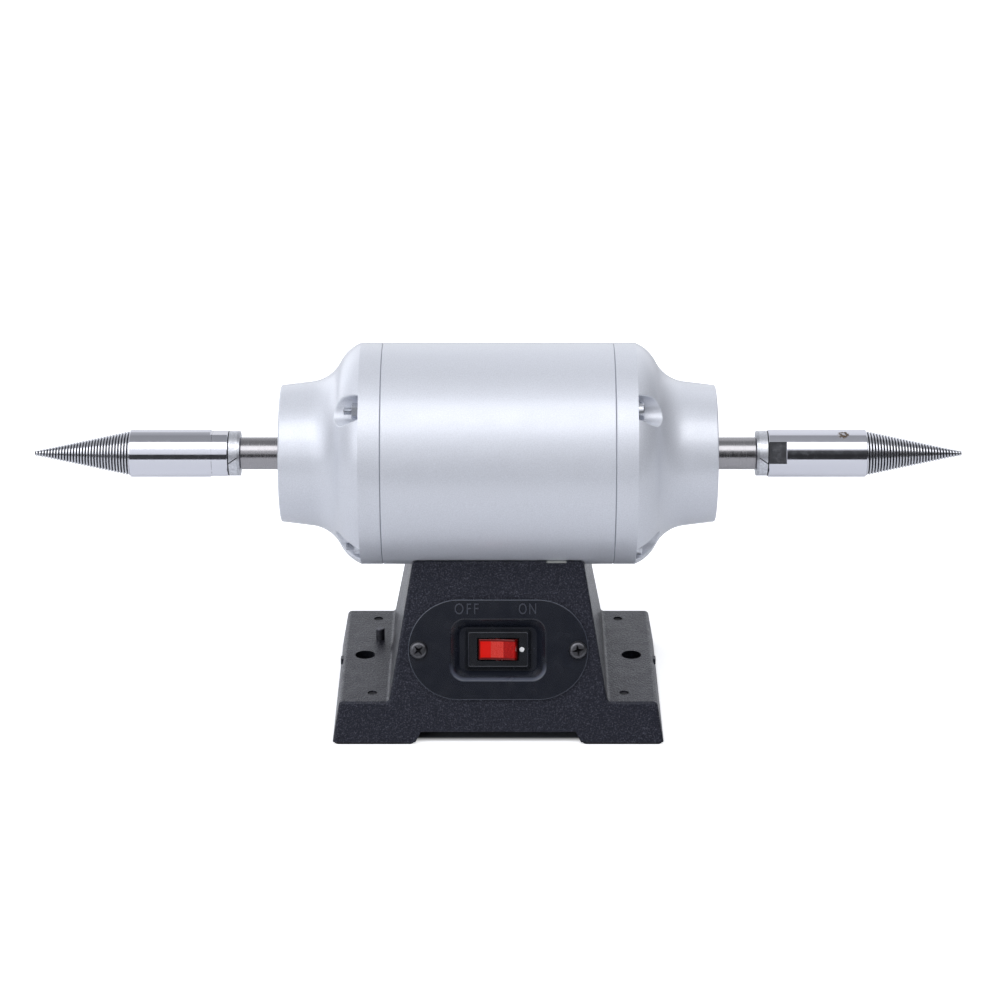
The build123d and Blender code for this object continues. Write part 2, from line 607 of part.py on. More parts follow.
# ------------------------------------------------------------------ stator
def slot_outline(gap):
    """One stator slot, pointing up from the axis; gap is left all round for its liner."""
    inner, outer = SLOT_R + gap, SLOT_R + SLOT_DEPTH - gap
    return make_face(
        Polyline(
            (-SLOT_WIDTH_IN / 2 + gap, inner),
            (SLOT_WIDTH_IN / 2 - gap, inner),
            (SLOT_WIDTH_OUT / 2 - gap, outer),
            (-SLOT_WIDTH_OUT / 2 + gap, outer),
            close=True,
        )
    )


def stator_core():
    """Stack of laminations with slots, and grooves that let the through bolts pass."""
    sheet = Circle(TUBE_BORE_R - FIT_GAP) - Circle(STATOR_BORE / 2)
    mouth = Pos(0, SLOT_R) * Rectangle(SLOT_MOUTH, 2 * SLOT_LIP + CUT)
    sheet -= PolarLocations(0, STATOR_SLOTS) * (slot_outline(0) + mouth)
    for _, y, z in bolt_places():
        sheet -= Pos(y, z) * Circle(THROUGH_BOLT / 2 + BOLT_GROOVE_GAP)
    core = extrude(Plane.YZ * sheet, CORE_X, both=True)
    for x, y in mount_screw_places():
        core -= post(x, y, -TUBE_R, -TUBE_BORE_R + MOUNT_SCREW_GRIP + CUT, MOUNT_SCREW / 2 + FIT_GAP)
    return core


def stator_winding():
    """Coil sides in the slots, joined by a lashed bundle of end turns at each side."""
    bars = Sketch() + PolarLocations(0, STATOR_SLOTS) * slot_outline(SLOT_LINER)
    winding = extrude(Plane.YZ * bars, CORE_X + 2 * SLOT_LINER, both=True)
    inner, outer = SLOT_R + SLOT_LINER, WINDING_R
    x0, x1 = CORE_X + SLOT_LINER, CORE_X + WINDING_OVERHANG
    bundle = turned((x0, inner), (x1, inner), (x1, outer), (x0, outer))
    bundle = chamfer(bundle.edges().filter_by(GeomType.CIRCLE).group_by(Axis.X)[-1], WINDING_CHAMFER)
    return winding + bundle + other_side(bundle)


# ------------------------------------------------------------------ rotor
def shaft():
    """Ground shaft, alike at both ends: core seat, bearing seat, plain part and spindle stub."""
    body, seat, plain, stub = SHAFT_BODY / 2, BEARING_BORE / 2, SHAFT_OD / 2, STUB_DIAMETER / 2
    end = SHOULDER_X + STUB_LENGTH
    half = [
        (end, 0),
        (end, stub - SHOULDER_CHAMFER),
        (end - SHOULDER_CHAMFER, stub),
        (SHOULDER_X, stub),
        (SHOULDER_X, plain - SHOULDER_CHAMFER),
        (SHOULDER_X - SHOULDER_CHAMFER, plain),
        (BEARING_OUT_X, plain),
        (BEARING_OUT_X, seat),
        (BEARING_IN_X, seat),
        (BEARING_IN_X, body),
    ]
    return turned(*half, *[(-x, r) for x, r in reversed(half)])


def rotor_core():
    """Stack of rotor laminations on the shaft."""
    return ring(-CORE_X, CORE_X, STATOR_BORE / 2 - ROTOR_GAP, SHAFT_BODY / 2)


def rotor_end_rings():
    """Cast aluminium end rings with stirring fins, one on each side of the rotor core."""
    outer, inner = STATOR_BORE / 2 - 2 * ROTOR_GAP, END_RING_BORE / 2
    end = CORE_X + END_RING_THICKNESS
    ring_right = ring(CORE_X, end, outer, inner)
    tip = outer - FIN_INSET
    fin = block(CORE_X, end + FIN_LENGTH, tip - FIN_HEIGHT, tip, -FIN_THICKNESS / 2, FIN_THICKNESS / 2)
    for index in range(FIN_COUNT):
        ring_right += Rot(360 / FIN_COUNT * index, 0, 0) * fin
    return [ring_right, other_side(ring_right)]


# ------------------------------------------------------------------ bearings and seals
def bearing_outer_ring():
    """Outer ring with its two pressed-in shields."""
    outer = ring(BEARING_IN_X, BEARING_OUT_X, BEARING_OD / 2, BEARING_OUTER_LAND / 2)
    shield_bore = BEARING_INNER_LAND / 2 + RUNNING_GAP
    for x in (BEARING_IN_X + SHIELD_SUNK, BEARING_OUT_X - SHIELD_SUNK - SHIELD_THICKNESS):
        outer += ring(x, x + SHIELD_THICKNESS, BEARING_OUTER_LAND / 2 + SHIELD_THICKNESS, shield_bore)
    return outer


def bearing_inner_ring():
    """Inner ring, pressed on the shaft."""
    return ring(BEARING_IN_X, BEARING_OUT_X, BEARING_INNER_LAND / 2, BEARING_BORE / 2)


def wave_washer():
    """Spring washer that preloads the bearings, behind the right one."""
    return ring(BEARING_OUT_X, END_WALL_X, BEARING_OD / 2 - RUNNING_GAP, BEARING_OUTER_LAND / 2)


def shaft_seals():
    """Felt ring round the shaft in each bell."""
    x1 = RIM_X - BELL_RIM_RECESS
    seal = ring(x1 - SEAL_WIDTH, x1, SEAL_OD / 2, SHAFT_OD / 2 + RUNNING_GAP)
    return [seal, other_side(seal)]


# ------------------------------------------------------------------ spindles
def thrust_washers():
    """Thin washer against each shoulder of the shaft."""
    washer = ring(SHOULDER_X, LOCK_X, COLLAR_OD / 2, STUB_DIAMETER / 2 + FIT_GAP)
    return [washer, other_side(washer)]


def lock_washer():
    """Split spring washer between the thrust washer and the spindle."""
    washer = ring(LOCK_X, BARREL_X, COLLAR_OD / 2, STUB_DIAMETER / 2 + FIT_GAP)
    middle = (LOCK_X + BARREL_X) / 2
    slit = Box(3 * LOCK_WASHER, COLLAR_OD, LOCK_SPLIT)
    slit = Pos(middle, -COLLAR_OD / 2, 0) * Rot(0, LOCK_SPLIT_ANGLE, 0) * slit
    return washer - slit


def spindle(flats_turn):
    """Barrel with two spanner flats and a tapered nose; its thread is too fine for this model."""
    barrel, nose = SPINDLE_OD / 2, SPINDLE_OD / 2 - SPINDLE_CHAMFER
    body = turned(
        (BARREL_X, 0),
        (BARREL_X, barrel - SPINDLE_CHAMFER),
        (BARREL_X + SPINDLE_CHAMFER, barrel),
        (TAPER_X - SPINDLE_CHAMFER, barrel),
        (TAPER_X, nose),
        (TIP_X - SPINDLE_TIP_CHAMFER, SPINDLE_TIP / 2),
        (TIP_X, SPINDLE_TIP / 2 - SPINDLE_TIP_CHAMFER),
        (TIP_X, 0),
    )
    for side in (-1, 1):
        cutter = block(
            BARREL_X - CUT,
            BARREL_X + SPINDLE_FLAT_LENGTH,
            -SPINDLE_OD,
            SPINDLE_OD,
            side * SPINDLE_FLATS / 2,
            side * SPINDLE_OD,
        )
        body -= Rot(flats_turn, 0, 0) * cutter
    bore_end = SHOULDER_X + STUB_LENGTH + SPINDLE_BORE_EXTRA
    return body - rod(BARREL_X - CUT, bore_end, STUB_DIAMETER / 2 + FIT_GAP)


# ------------------------------------------------------------------ switch plate and switch
def dish(extra, top):
    """Tapered, round-cornered block of the dish; extra is added all round, top is its upper level."""
    drop = DISH_SLOPE / DISH_DEPTH
    lower = DISH_FLOOR - extra
    sections = []
    for level in (lower, top):
        inset = (PLATE_THICKNESS - level) * drop - extra * (1 + drop)
        length, width = DISH_LENGTH - 2 * inset, DISH_WIDTH - 2 * inset
        corner = DISH_CORNER - inset * DISH_CORNER_SHRINK
        sections.append(PANEL * Pos(0, 0, level) * RectangleRounded(length, width, corner))
    return loft(sections, ruled=True)


def switch_plate():
    """Moulded plate with a sunk dish in its middle, where the switch sits out of harm's way."""
    outline = SlotOverall(PLATE_LENGTH, PLATE_WIDTH)
    plate = extrude(PANEL * outline, PLATE_THICKNESS)
    rim = plate.faces().sort_by(Axis(PANEL.origin, PANEL.z_dir))[-1].edges()
    plate = fillet(rim, PLATE_EDGE)
    opening = extrude(PANEL * RectangleRounded(DISH_LENGTH, DISH_WIDTH, DISH_CORNER), -2 * DISH_DEPTH)
    plate += dish(PLATE_THICKNESS, PLATE_THICKNESS / 2) & (opening + plate)
    plate -= dish(0, PLATE_THICKNESS)
    level = PANEL.origin.dot(PANEL.z_dir) + PLATE_THICKNESS
    top = [e for e in plate.edges() if abs(e.center().dot(PANEL.z_dir) - level) < PICK / 10]
    rim = [e for e in top if abs((e.center() - PANEL.origin).X) < DISH_LENGTH / 2 + PICK]
    rim = [e for e in rim if abs((e.center() - PANEL.origin).dot(PANEL.y_dir)) < DISH_WIDTH / 2 + PICK]
    plate = fillet(rim, DISH_EDGE)
    hole = Rectangle(SWITCH_BODY_LENGTH + 2 * PANEL_GAP, SWITCH_BODY_WIDTH + 2 * PANEL_GAP)
    plate -= extrude(PANEL * hole, -2 * DISH_DEPTH)
    for x in (-PLATE_SCREW_X, PLATE_SCREW_X):
        plate -= extrude(PANEL * Pos(x, 0) * Circle(PLATE_SCREW / 2 + SCREW_GAP), PLATE_THICKNESS + CUT)
    return plate


def switch_plate_screws():
    """Two pan-head screws that hold the plate to the casting."""
    screws = []
    for x in (-PLATE_SCREW_X, PLATE_SCREW_X):
        seat = PANEL * Pos(x, 0, PLATE_THICKNESS)
        head = extrude(seat * Circle(PLATE_SCREW_HEAD / 2), PLATE_SCREW_HEAD_HEIGHT)
        top = head.faces().sort_by(Axis(PANEL.origin, PANEL.z_dir))[-1]
        head = fillet(top.edges(), PLATE_SCREW_HEAD_ROUNDING)
        shank = extrude(seat * Circle(PLATE_SCREW / 2), -PLATE_THICKNESS - PLATE_SCREW_LENGTH)
        screws.append(head + shank)
    return screws


def switch_housing():
    """Snap-in switch body with its bevelled bezel, hollow for the rocker."""
    frame = PANEL * Pos(0, 0, DISH_FLOOR) * RectangleRounded(BEZEL_LENGTH, BEZEL_WIDTH, BEZEL_CORNER)
    bezel = extrude(frame, BEZEL_HEIGHT)
    top = bezel.faces().sort_by(Axis(PANEL.origin, PANEL.z_dir))[-1]
    bezel = chamfer(top.edges(), BEZEL_BEVEL)
    body = extrude(
        PANEL * Pos(0, 0, DISH_FLOOR) * Rectangle(SWITCH_BODY_LENGTH, SWITCH_BODY_WIDTH), -SWITCH_BODY_DEPTH
    )
    housing = bezel + body
    well_length = 2 * (ROCKER_END_R + ROCKER_GAP)
    well_width = ROCKER_WIDTH + 2 * ROCKER_GAP
    floor = PIVOT_N - ROCKER_WELL
    well = PANEL * Pos(0, 0, floor) * Rectangle(well_length, well_width)
    housing -= extrude(well, BEZEL_TOP - floor + CUT)
    pivot = PANEL * Pos(0, 0, PIVOT_N) * Rot(90, 0, 0)
    reach = well_width + 2 * PIVOT_LENGTH
    return housing - pivot * Cylinder(PIVOT_DIAMETER / 2 + FIT_GAP, reach)


def switch_rocker():
    """Rocker with three facets on moulded pivots, its left end pressed in."""
    middle, half, top = ROCKER_MIDDLE / 2, ROCKER_LENGTH / 2, ROCKER_RISE + ROCKER_END_RISE
    right = [(middle, ROCKER_RISE), (half, top), (2 * half, top), (2 * half, -ROCKER_KEEL)]
    left = [(-x, y) for x, y in reversed(right)]
    outline = Circle(ROCKER_END_R) & make_face(Polyline(*right, *left, close=True))
    outline += Circle(ROCKER_HUB / 2)
    # the outline is drawn across the panel, seen from below, and leaned to the off position
    across = Plane(origin=(0, 0, 0), x_dir=(1, 0, 0), z_dir=(0, -1, 0)) * Rot(0, 0, ROCKER_ANGLE)
    rocker = extrude(across * outline, ROCKER_WIDTH / 2, both=True)
    rocker += extrude(across * Circle(PIVOT_DIAMETER / 2), ROCKER_WIDTH / 2 + PIVOT_LENGTH, both=True)
    return PANEL * Pos(0, 0, PIVOT_N) * rocker


def switch_terminals():
    """Four blade terminals behind the switch body."""
    back = DISH_FLOOR - SWITCH_BODY_DEPTH
    blades = []
    for x in (-TERMINAL_SPREAD_X / 2, TERMINAL_SPREAD_X / 2):
        for u in (-TERMINAL_SPREAD_U / 2, TERMINAL_SPREAD_U / 2):
            section = PANEL * Pos(x, u, back) * Rectangle(TERMINAL_THICKNESS, TERMINAL_WIDTH)
            blades.append(extrude(section, -TERMINAL_LENGTH))
    return blades


# ------------------------------------------------------------------ inside the pedestal
def bottom_cover():
    """Sheet steel plate that closes the hollow from below and carries what lies inside it."""
    depth = 2 * (face_y(FLOOR_Z) - WALL_ACROSS - PANEL_GAP)
    plate = RectangleRounded(2 * (CAVITY_X - PANEL_GAP), depth, COVER_BOSS / 2)
    for x, y in cover_screw_places():
        plate -= Pos(x, y) * Circle(COVER_SCREW / 2 + SCREW_GAP)
    for x, y in strap_screw_places() + block_screw_places():
        plate -= Pos(x, y) * Circle(STRAP_SCREW / 2 + FIT_GAP)
    return extrude(Pos(0, 0, COVER_Z) * plate, COVER_THICKNESS)


def cover_screws():
    """Four screws that hold the bottom cover, driven from below."""
    screws = []
    for x, y in cover_screw_places():
        head = post(x, y, COVER_Z - COVER_HEAD_HEIGHT, COVER_Z, COVER_HEAD_DIAMETER / 2)
        screws.append(head + post(x, y, COVER_Z, COVER_Z + COVER_SCREW_LENGTH, COVER_SCREW / 2))
    return screws


def mounting_screws():
    """Two screws that come up through the saddle and the tube into the stator core."""
    seat = STAY_Z - MOUNT_BOSS_DROP - MOUNT_WASHER
    end = AXIS_HEIGHT - TUBE_BORE_R + MOUNT_SCREW_GRIP
    screws = []
    for x, y in mount_screw_places():
        head = post(x, y, seat - MOUNT_HEAD_HEIGHT, seat, MOUNT_HEAD_DIAMETER / 2)
        screws.append(head + post(x, y, seat, end, MOUNT_SCREW / 2))
    return screws


def mounting_washers():
    """Washers under the heads of the mounting screws."""
    top = STAY_Z - MOUNT_BOSS_DROP
    washers = []
    for x, y in mount_screw_places():
        disc = post(x, y, top - MOUNT_WASHER, top, MOUNT_WASHER_OD / 2)
        washers.append(disc - post(x, y, top - MOUNT_WASHER, top, MOUNT_SCREW / 2 + SCREW_GAP))
    return washers


def lead_grommet():
    """Rubber bush round the motor leads, in the saddle."""
    top = AXIS_HEIGHT - TUBE_R - SADDLE_GAP - PANEL_GAP
    bottom = STAY_Z - LEAD_FLANGE
    bush = post(LEAD_X, LEAD_Y, bottom, top, LEAD_HOLE / 2)
    bush += post(LEAD_X, LEAD_Y, bottom, STAY_Z - PANEL_GAP, LEAD_HOLE / 2 + LEAD_FLANGE)
    return bush - post(LEAD_X, LEAD_Y, bottom, top, LEAD_DIAMETER / 2 + FIT_GAP)


def motor_leads():
    """Sleeved leads from the end turns straight down through the saddle into the terminal block."""
    bottom, top = BLOCK_TOP + LEAD_END_GAP, AXIS_HEIGHT - WINDING_R - LEAD_END_GAP
    return post(LEAD_X, LEAD_Y, bottom, top, LEAD_DIAMETER / 2)


def switch_leads():
    """Leads from the switch, bent down into the far way of the terminal block."""
    x = way_places()[-1][0]
    start = PANEL.from_local_coords((x, 0, DISH_FLOOR - SWITCH_BODY_DEPTH - LEAD_END_GAP))
    out = start - PANEL.z_dir * SWITCH_LEAD_RUN
    turn, end = (x, LEAD_Y, BLOCK_TOP + SWITCH_LEAD_DROP), (x, LEAD_Y, BLOCK_TOP + LEAD_END_GAP)
    path = FilletPolyline(start, out, turn, end, radius=SWITCH_LEAD_BEND)
    return sweep(Plane(origin=path @ 0, z_dir=path % 0) * Circle(SWITCH_LEAD_DIAMETER / 2), path=path)


def run_capacitor():
    """Capacitor can on its side on the bottom cover, with a crimped end."""
    radius = CAPACITOR_DIAMETER / 2
    x0, x1 = CAPACITOR_X - CAPACITOR_LENGTH / 2, CAPACITOR_X + CAPACITOR_LENGTH / 2
    can = rod(x0, x1, radius, CAPACITOR_Y, FLOOR_Z + radius)
    return chamfer(can.edges().filter_by(GeomType.CIRCLE), CAPACITOR_CHAMFER)


def strap_screw_places():
    """The two feet of the capacitor strap."""
    reach = CAPACITOR_DIAMETER / 2 + (STRAP_THICKNESS + STRAP_FOOT) / 2
    return [(CAPACITOR_X, CAPACITOR_Y - reach), (CAPACITOR_X, CAPACITOR_Y + reach)]


def capacitor_clamp():
    """Steel strap over the capacitor, with a screwed foot at each side."""
    radius = CAPACITOR_DIAMETER / 2
    inner, outer = radius + FIT_GAP, radius + FIT_GAP + STRAP_THICKNESS
    reach = radius + STRAP_FOOT
    arch = Circle(outer) & Pos(0, outer / 2) * Rectangle(2 * outer, outer)
    arch += Pos(0, -radius / 2) * Rectangle(2 * outer, radius)
    feet = Pos(0, -radius + STRAP_THICKNESS / 2) * Rectangle(2 * reach, STRAP_THICKNESS)
    void = Circle(inner) + Pos(0, -radius / 2) * Rectangle(2 * inner, radius)
    band = (arch + feet) - void
    section = Plane((CAPACITOR_X, CAPACITOR_Y, FLOOR_Z + radius), x_dir=(0, 1, 0), z_dir=(1, 0, 0)) * band
    strap = extrude(section, STRAP_WIDTH / 2, both=True)
    for x, y in strap_screw_places():
        strap -= post(x, y, FLOOR_Z - CUT, FLOOR_Z + 2 * STRAP_THICKNESS, STRAP_SCREW / 2 + SCREW_GAP)
    return strap


def clamp_screws():
    """Two screws through the feet of the strap."""
    seat = FLOOR_Z + STRAP_THICKNESS
    screws = []
    for x, y in strap_screw_places():
        head = post(x, y, seat, seat + STRAP_SCREW_HEAD_HEIGHT, STRAP_SCREW_HEAD / 2)
        screws.append(head + post(x, y, COVER_Z, seat, STRAP_SCREW / 2))
    return screws


def block_screw_places():
    """The one screw hole in the middle of the terminal block."""
    return [(BLOCK_X, LEAD_Y)]


def way_places():
    """The screw wells of the terminal block."""
    return [(LEAD_X - BLOCK_PITCH * index, LEAD_Y) for index in range(BLOCK_WAYS)]


def terminal_block():
    """Moulded terminal block on the bottom cover, with a screw well for each way."""
    x0, x1 = BLOCK_X - BLOCK_LENGTH / 2, BLOCK_X + BLOCK_LENGTH / 2
    body = block(x0, x1, LEAD_Y - BLOCK_WIDTH / 2, LEAD_Y + BLOCK_WIDTH / 2, FLOOR_Z, BLOCK_TOP)
    for x, y in way_places():
        body -= post(x, y, BLOCK_TOP - BLOCK_SCREW_DEPTH, BLOCK_TOP + CUT, BLOCK_SCREW / 2 + SCREW_GAP)
    return body - post(BLOCK_X, LEAD_Y, FLOOR_Z - CUT, BLOCK_TOP + CUT, STRAP_SCREW / 2 + SCREW_GAP)


def terminal_screws():
    """One grub screw in each way of the block."""
    bottom = BLOCK_TOP - BLOCK_SCREW_DEPTH
    return [post(x, y, bottom, bottom + BLOCK_SCREW_LENGTH, BLOCK_SCREW / 2) for x, y in way_places()]


def cord_grommet():
    """Rubber grommet of the mains inlet, in the leaning back face."""
    outer = INLET_BORE / 2 + GROMMET_WALL
    flange = outer + GROMMET_FLANGE
    bush = extrude(INLET * Pos(0, 0, -CASTING_WALL) * Circle(outer), CASTING_WALL)
    bush += extrude(INLET * Circle(flange), GROMMET_FLANGE_THICKNESS)
    inside = INLET * Pos(0, 0, -CASTING_WALL - GROMMET_FLANGE_THICKNESS)
    bush += extrude(inside * Circle(flange), GROMMET_FLANGE_THICKNESS)
    return bush - extrude(INLET * Circle(INLET_BORE / 2), 2 * CASTING_WALL, both=True)


# ------------------------------------------------------------------ all pieces
def pieces():
    """Every node of the part, each as a solid or a list of like solids."""
    return {
        "base_casting": base_casting(),
        "foot_pads": foot_pads(),
        "earth_stud": earth_stud(),
        "bottom_cover": bottom_cover(),
        "cover_screws": cover_screws(),
        "mounting_screws": mounting_screws(),
        "mounting_washers": mounting_washers(),
        "motor_tube": at_axis(motor_tube()),
        "left_end_bell": at_axis(turned_round(end_bell(0))),
        "right_end_bell": at_axis(end_bell(WAVE_WASHER)),
        "through_bolts": [at_axis(bolt) for bolt in through_bolts()],
        "through_bolt_nuts": [at_axis(nut) for nut in through_bolt_nuts()],
        "stator_core": at_axis(stator_core()),
        "stator_winding": at_axis(stator_winding()),
        "left_bearing_outer_ring": at_axis(turned_round(bearing_outer_ring())),
        "right_bearing_outer_ring": at_axis(bearing_outer_ring()),
        "left_bearing_inner_ring": at_axis(turned_round(bearing_inner_ring())),
        "right_bearing_inner_ring": at_axis(bearing_inner_ring()),
        "bearing_wave_washer": at_axis(wave_washer()),
        "shaft_seals": [at_axis(seal) for seal in shaft_seals()],
        "shaft": at_axis(shaft()),
        "rotor_core": at_axis(rotor_core()),
        "rotor_end_rings": [at_axis(end_ring) for end_ring in rotor_end_rings()],
        "thrust_washers": [at_axis(washer) for washer in thrust_washers()],
        "left_lock_washer": at_axis(other_side(lock_washer())),
        "right_lock_washer": at_axis(lock_washer()),
        "left_spindle": at_axis(other_side(spindle(LEFT_FLATS_TURN))),
        "right_spindle": at_axis(spindle(RIGHT_FLATS_TURN)),
        "switch_plate": switch_plate(),
        "switch_plate_screws": switch_plate_screws(),
        "switch_housing": switch_housing(),
        "switch_rocker": switch_rocker(),
        "switch_terminals": switch_terminals(),
        "run_capacitor": run_capacitor(),
        "capacitor_clamp": capacitor_clamp(),
        "clamp_screws": clamp_screws(),
        "terminal_block": terminal_block(),
        "terminal_screws": terminal_screws(),
        "motor_leads": motor_leads(),
        "switch_leads": switch_leads(),
        "lead_grommet": lead_grommet(),
        "cord_grommet": cord_grommet(),
    }


def main():
    """Write one file for each node."""
    os.makedirs("parts", exist_ok=True)
    for name, shape in pieces().items():
        parts = shape if isinstance(shape, list) else [shape]
        solids = [solid for part in parts for solid in part.solids()]
        export_step(Compound(children=solids) if len(solids) > 1 else solids[0], f"parts/{name}.step")


if __name__ == "__main__":
    main()
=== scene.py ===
"""Finish of a two-ended polishing lathe: enamelled motor shell, wrinkle-painted pedestal, chromed
spindles with tapered threads, and the switch in front. Lengths are in metres, in the lathe's own frame."""

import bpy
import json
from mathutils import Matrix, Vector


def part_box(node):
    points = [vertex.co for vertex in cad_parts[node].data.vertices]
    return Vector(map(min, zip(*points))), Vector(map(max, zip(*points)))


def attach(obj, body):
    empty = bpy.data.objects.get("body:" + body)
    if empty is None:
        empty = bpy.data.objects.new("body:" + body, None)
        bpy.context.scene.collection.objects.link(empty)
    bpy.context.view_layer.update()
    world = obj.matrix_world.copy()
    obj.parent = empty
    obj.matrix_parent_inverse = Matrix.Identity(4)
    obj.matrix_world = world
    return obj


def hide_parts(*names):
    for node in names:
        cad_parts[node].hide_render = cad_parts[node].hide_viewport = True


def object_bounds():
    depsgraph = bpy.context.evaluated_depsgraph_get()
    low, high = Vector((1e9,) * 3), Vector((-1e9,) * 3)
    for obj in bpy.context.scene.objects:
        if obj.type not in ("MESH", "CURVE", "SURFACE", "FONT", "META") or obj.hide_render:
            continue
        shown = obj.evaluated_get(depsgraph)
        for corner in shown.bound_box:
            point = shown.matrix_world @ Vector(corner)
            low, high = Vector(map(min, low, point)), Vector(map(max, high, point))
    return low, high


bl_info = {
    "name": "Polishing lathe finish",
    "version": (1, 0, 0),
    "blender": (4, 5, 0),
    "location": "3D View > Sidebar > Lathe",
    "description": "Gives a two-ended polishing lathe its finishes, threads, screws and studio",
    "category": "Object",
}

import json
import math
from contextlib import contextmanager

import bpy
from bpy.props import FloatProperty, FloatVectorProperty, PointerProperty
from bpy.types import Operator, Panel, PropertyGroup
from mathutils import Matrix, Vector

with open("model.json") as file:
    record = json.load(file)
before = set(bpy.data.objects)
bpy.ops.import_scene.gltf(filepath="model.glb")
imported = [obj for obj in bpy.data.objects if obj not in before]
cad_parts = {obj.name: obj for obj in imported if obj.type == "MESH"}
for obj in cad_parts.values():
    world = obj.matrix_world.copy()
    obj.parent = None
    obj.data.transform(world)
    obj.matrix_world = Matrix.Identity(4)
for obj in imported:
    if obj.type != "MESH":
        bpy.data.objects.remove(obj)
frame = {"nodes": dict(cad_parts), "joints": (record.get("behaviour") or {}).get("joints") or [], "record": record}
cad_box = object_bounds()

MM = 0.001


# ---------- colours
def srgb(code):
    """Linear red, green and blue of an sRGB hex colour."""
    values = [int(code[i : i + 2], 16) / 255 for i in (1, 3, 5)]
    return tuple(v / 12.92 if v <= 0.04045 else ((v + 0.055) / 1.055) ** 2.4 for v in values)


def colour(name, code, description):
    return FloatVectorProperty(name=name, description=description, subtype="COLOR", size=3,
                               min=0, max=1, default=srgb(code))


def length(name, default, description):
    return FloatProperty(name=name, description=description, default=default, min=0,
                         unit="LENGTH", subtype="DISTANCE")


# ---------- places read from the frame
def joint(name):
    return next(j for j in frame["joints"] if j["name"] == name)


AXIS = Vector(joint("rotor_spin")["pos_m"])
PIVOT = Vector(joint("rocker_tilt")["pos_m"])
PANEL_UP = Vector(joint("rocker_tilt")["axis"]).normalized()
PANEL_X = Vector((1, 0, 0))
PANEL_OUT = PANEL_X.cross(PANEL_UP).normalized()


def reach(node, direction):
    """How far a CAD node reaches along a direction, from the origin."""
    return max(v.co.dot(direction) for v in frame["nodes"][node].data.vertices)


def panel_matrix(x, up, out):
    """Stands a piece drawn flat, facing +Z, on the switch panel; out is measured from the plate's face."""
    out += reach("switch_plate", PANEL_OUT)
    where = PANEL_X * x + PANEL_UP * (PIVOT.dot(PANEL_UP) + up) + PANEL_OUT * out
    turned = Matrix((PANEL_X, PANEL_UP, PANEL_OUT)).transposed().to_4x4()
    return Matrix.Translation(where) @ turned


# ---------- settings
class LatheSpindles(PropertyGroup):
    pitch: length("Thread pitch", 1.5 * MM, "Distance from one thread crest to the next")
    depth: length("Thread depth", 0.85 * MM, "Depth of the thread, crest to root")
    crest: length("Thread base", 22.3 * MM, "Diameter over the crests where the thread begins")
    tip: length("Thread tip", 2.2 * MM, "Diameter over the crests at the tip")
    flats: length("Spanner flats", 20.8 * MM, "Distance across the two spanner flats")
    flat_length: length("Flat length", 8.8 * MM, "Length of the spanner flats")
    chamfer: length("Barrel chamfer", 0.3 * MM, "Chamfer at both ends of the barrel")


class LatheSwitch(PropertyGroup):
    letter_height: length("Letter height", 5.4 * MM, "Height of the moulded words beside the switch")
    letter_rise: length("Letter rise", 0.35 * MM, "How far the words stand out of the plate")
    letter_up: length("Letter place", 20.0 * MM, "Distance of the words above the switch")
    dot: length("Dot", 2.4 * MM, "Diameter of the painted dot on the switch frame")
    edge: length("Moulded edge", 0.35 * MM, "Rounding of the rocker's moulded edges")


class LatheFinish(PropertyGroup):
    enamel: colour("Motor enamel", "#DEE1E9", "Silver metallic enamel of the motor shell")
    wrinkle: colour("Pedestal enamel", "#15141A", "Black wrinkle enamel of the pedestal")
    plate: colour("Switch plate", "#191C25", "Moulded switch plate")
    rocker: colour("Rocker", "#E01408", "Translucent rocker")


class LatheStage(PropertyGroup):
    lens: FloatProperty(name="Lens", description="Focal length in millimetres", default=116.64, min=10)
    distance: length("Camera distance", 1.62, "Camera to the point that it looks at")
    elevation: FloatProperty(name="Camera elevation", description="Camera above the horizon",
                             default=math.radians(21.75), subtype="ANGLE", unit="ROTATION")
    aim_x: length("Aim sideways", 0.9 * MM, "Aimed point to the right of the middle")
    aim_z: length("Aim height", 105.2 * MM, "Height of the aimed point")
    softbox: FloatProperty(name="Softbox", description="Power of the large lamp in watts",
                           default=9.5, min=0)
    floor: colour("Floor", "#E8E9EC", "Colour of the paper floor")


SETTINGS = {"lathe_spindles": LatheSpindles, "lathe_switch": LatheSwitch,
            "lathe_finish": LatheFinish, "lathe_stage": LatheStage}


# ---------- materials
def add_node(tree, kind, inputs=None, **settings):
    """Adds a shader node; each input takes a value or the socket that feeds it."""
    node = tree.nodes.new("ShaderNode" + kind)
    for name, value in settings.items():
        setattr(node, name, value)
    for key, value in (inputs or {}).items():
        if isinstance(value, bpy.types.NodeSocket):
            tree.links.new(value, node.inputs[key])
        else:
            node.inputs[key].default_value = value
    return node


def new_material(name, base, **sockets):
    """A Principled material; sockets are given by name with _ for the spaces."""
    material = bpy.data.materials.new(name)
    material.use_nodes = True
    tree = material.node_tree
    shader = tree.nodes["Principled BSDF"]
    shader.inputs["Base Color"].default_value = (*base, 1)
    for key, value in sockets.items():
        shader.inputs[key.replace("_", " ")].default_value = value
    return material, tree, shader


def own_place(tree):
    """The piece's own coordinates, in metres."""
    return add_node(tree, "TexCoord").outputs["Object"]


def own_axes(tree):
    """X, Y and Z of the piece's own coordinates, in metres."""
    return add_node(tree, "SeparateXYZ", {"Vector": own_place(tree)}).outputs


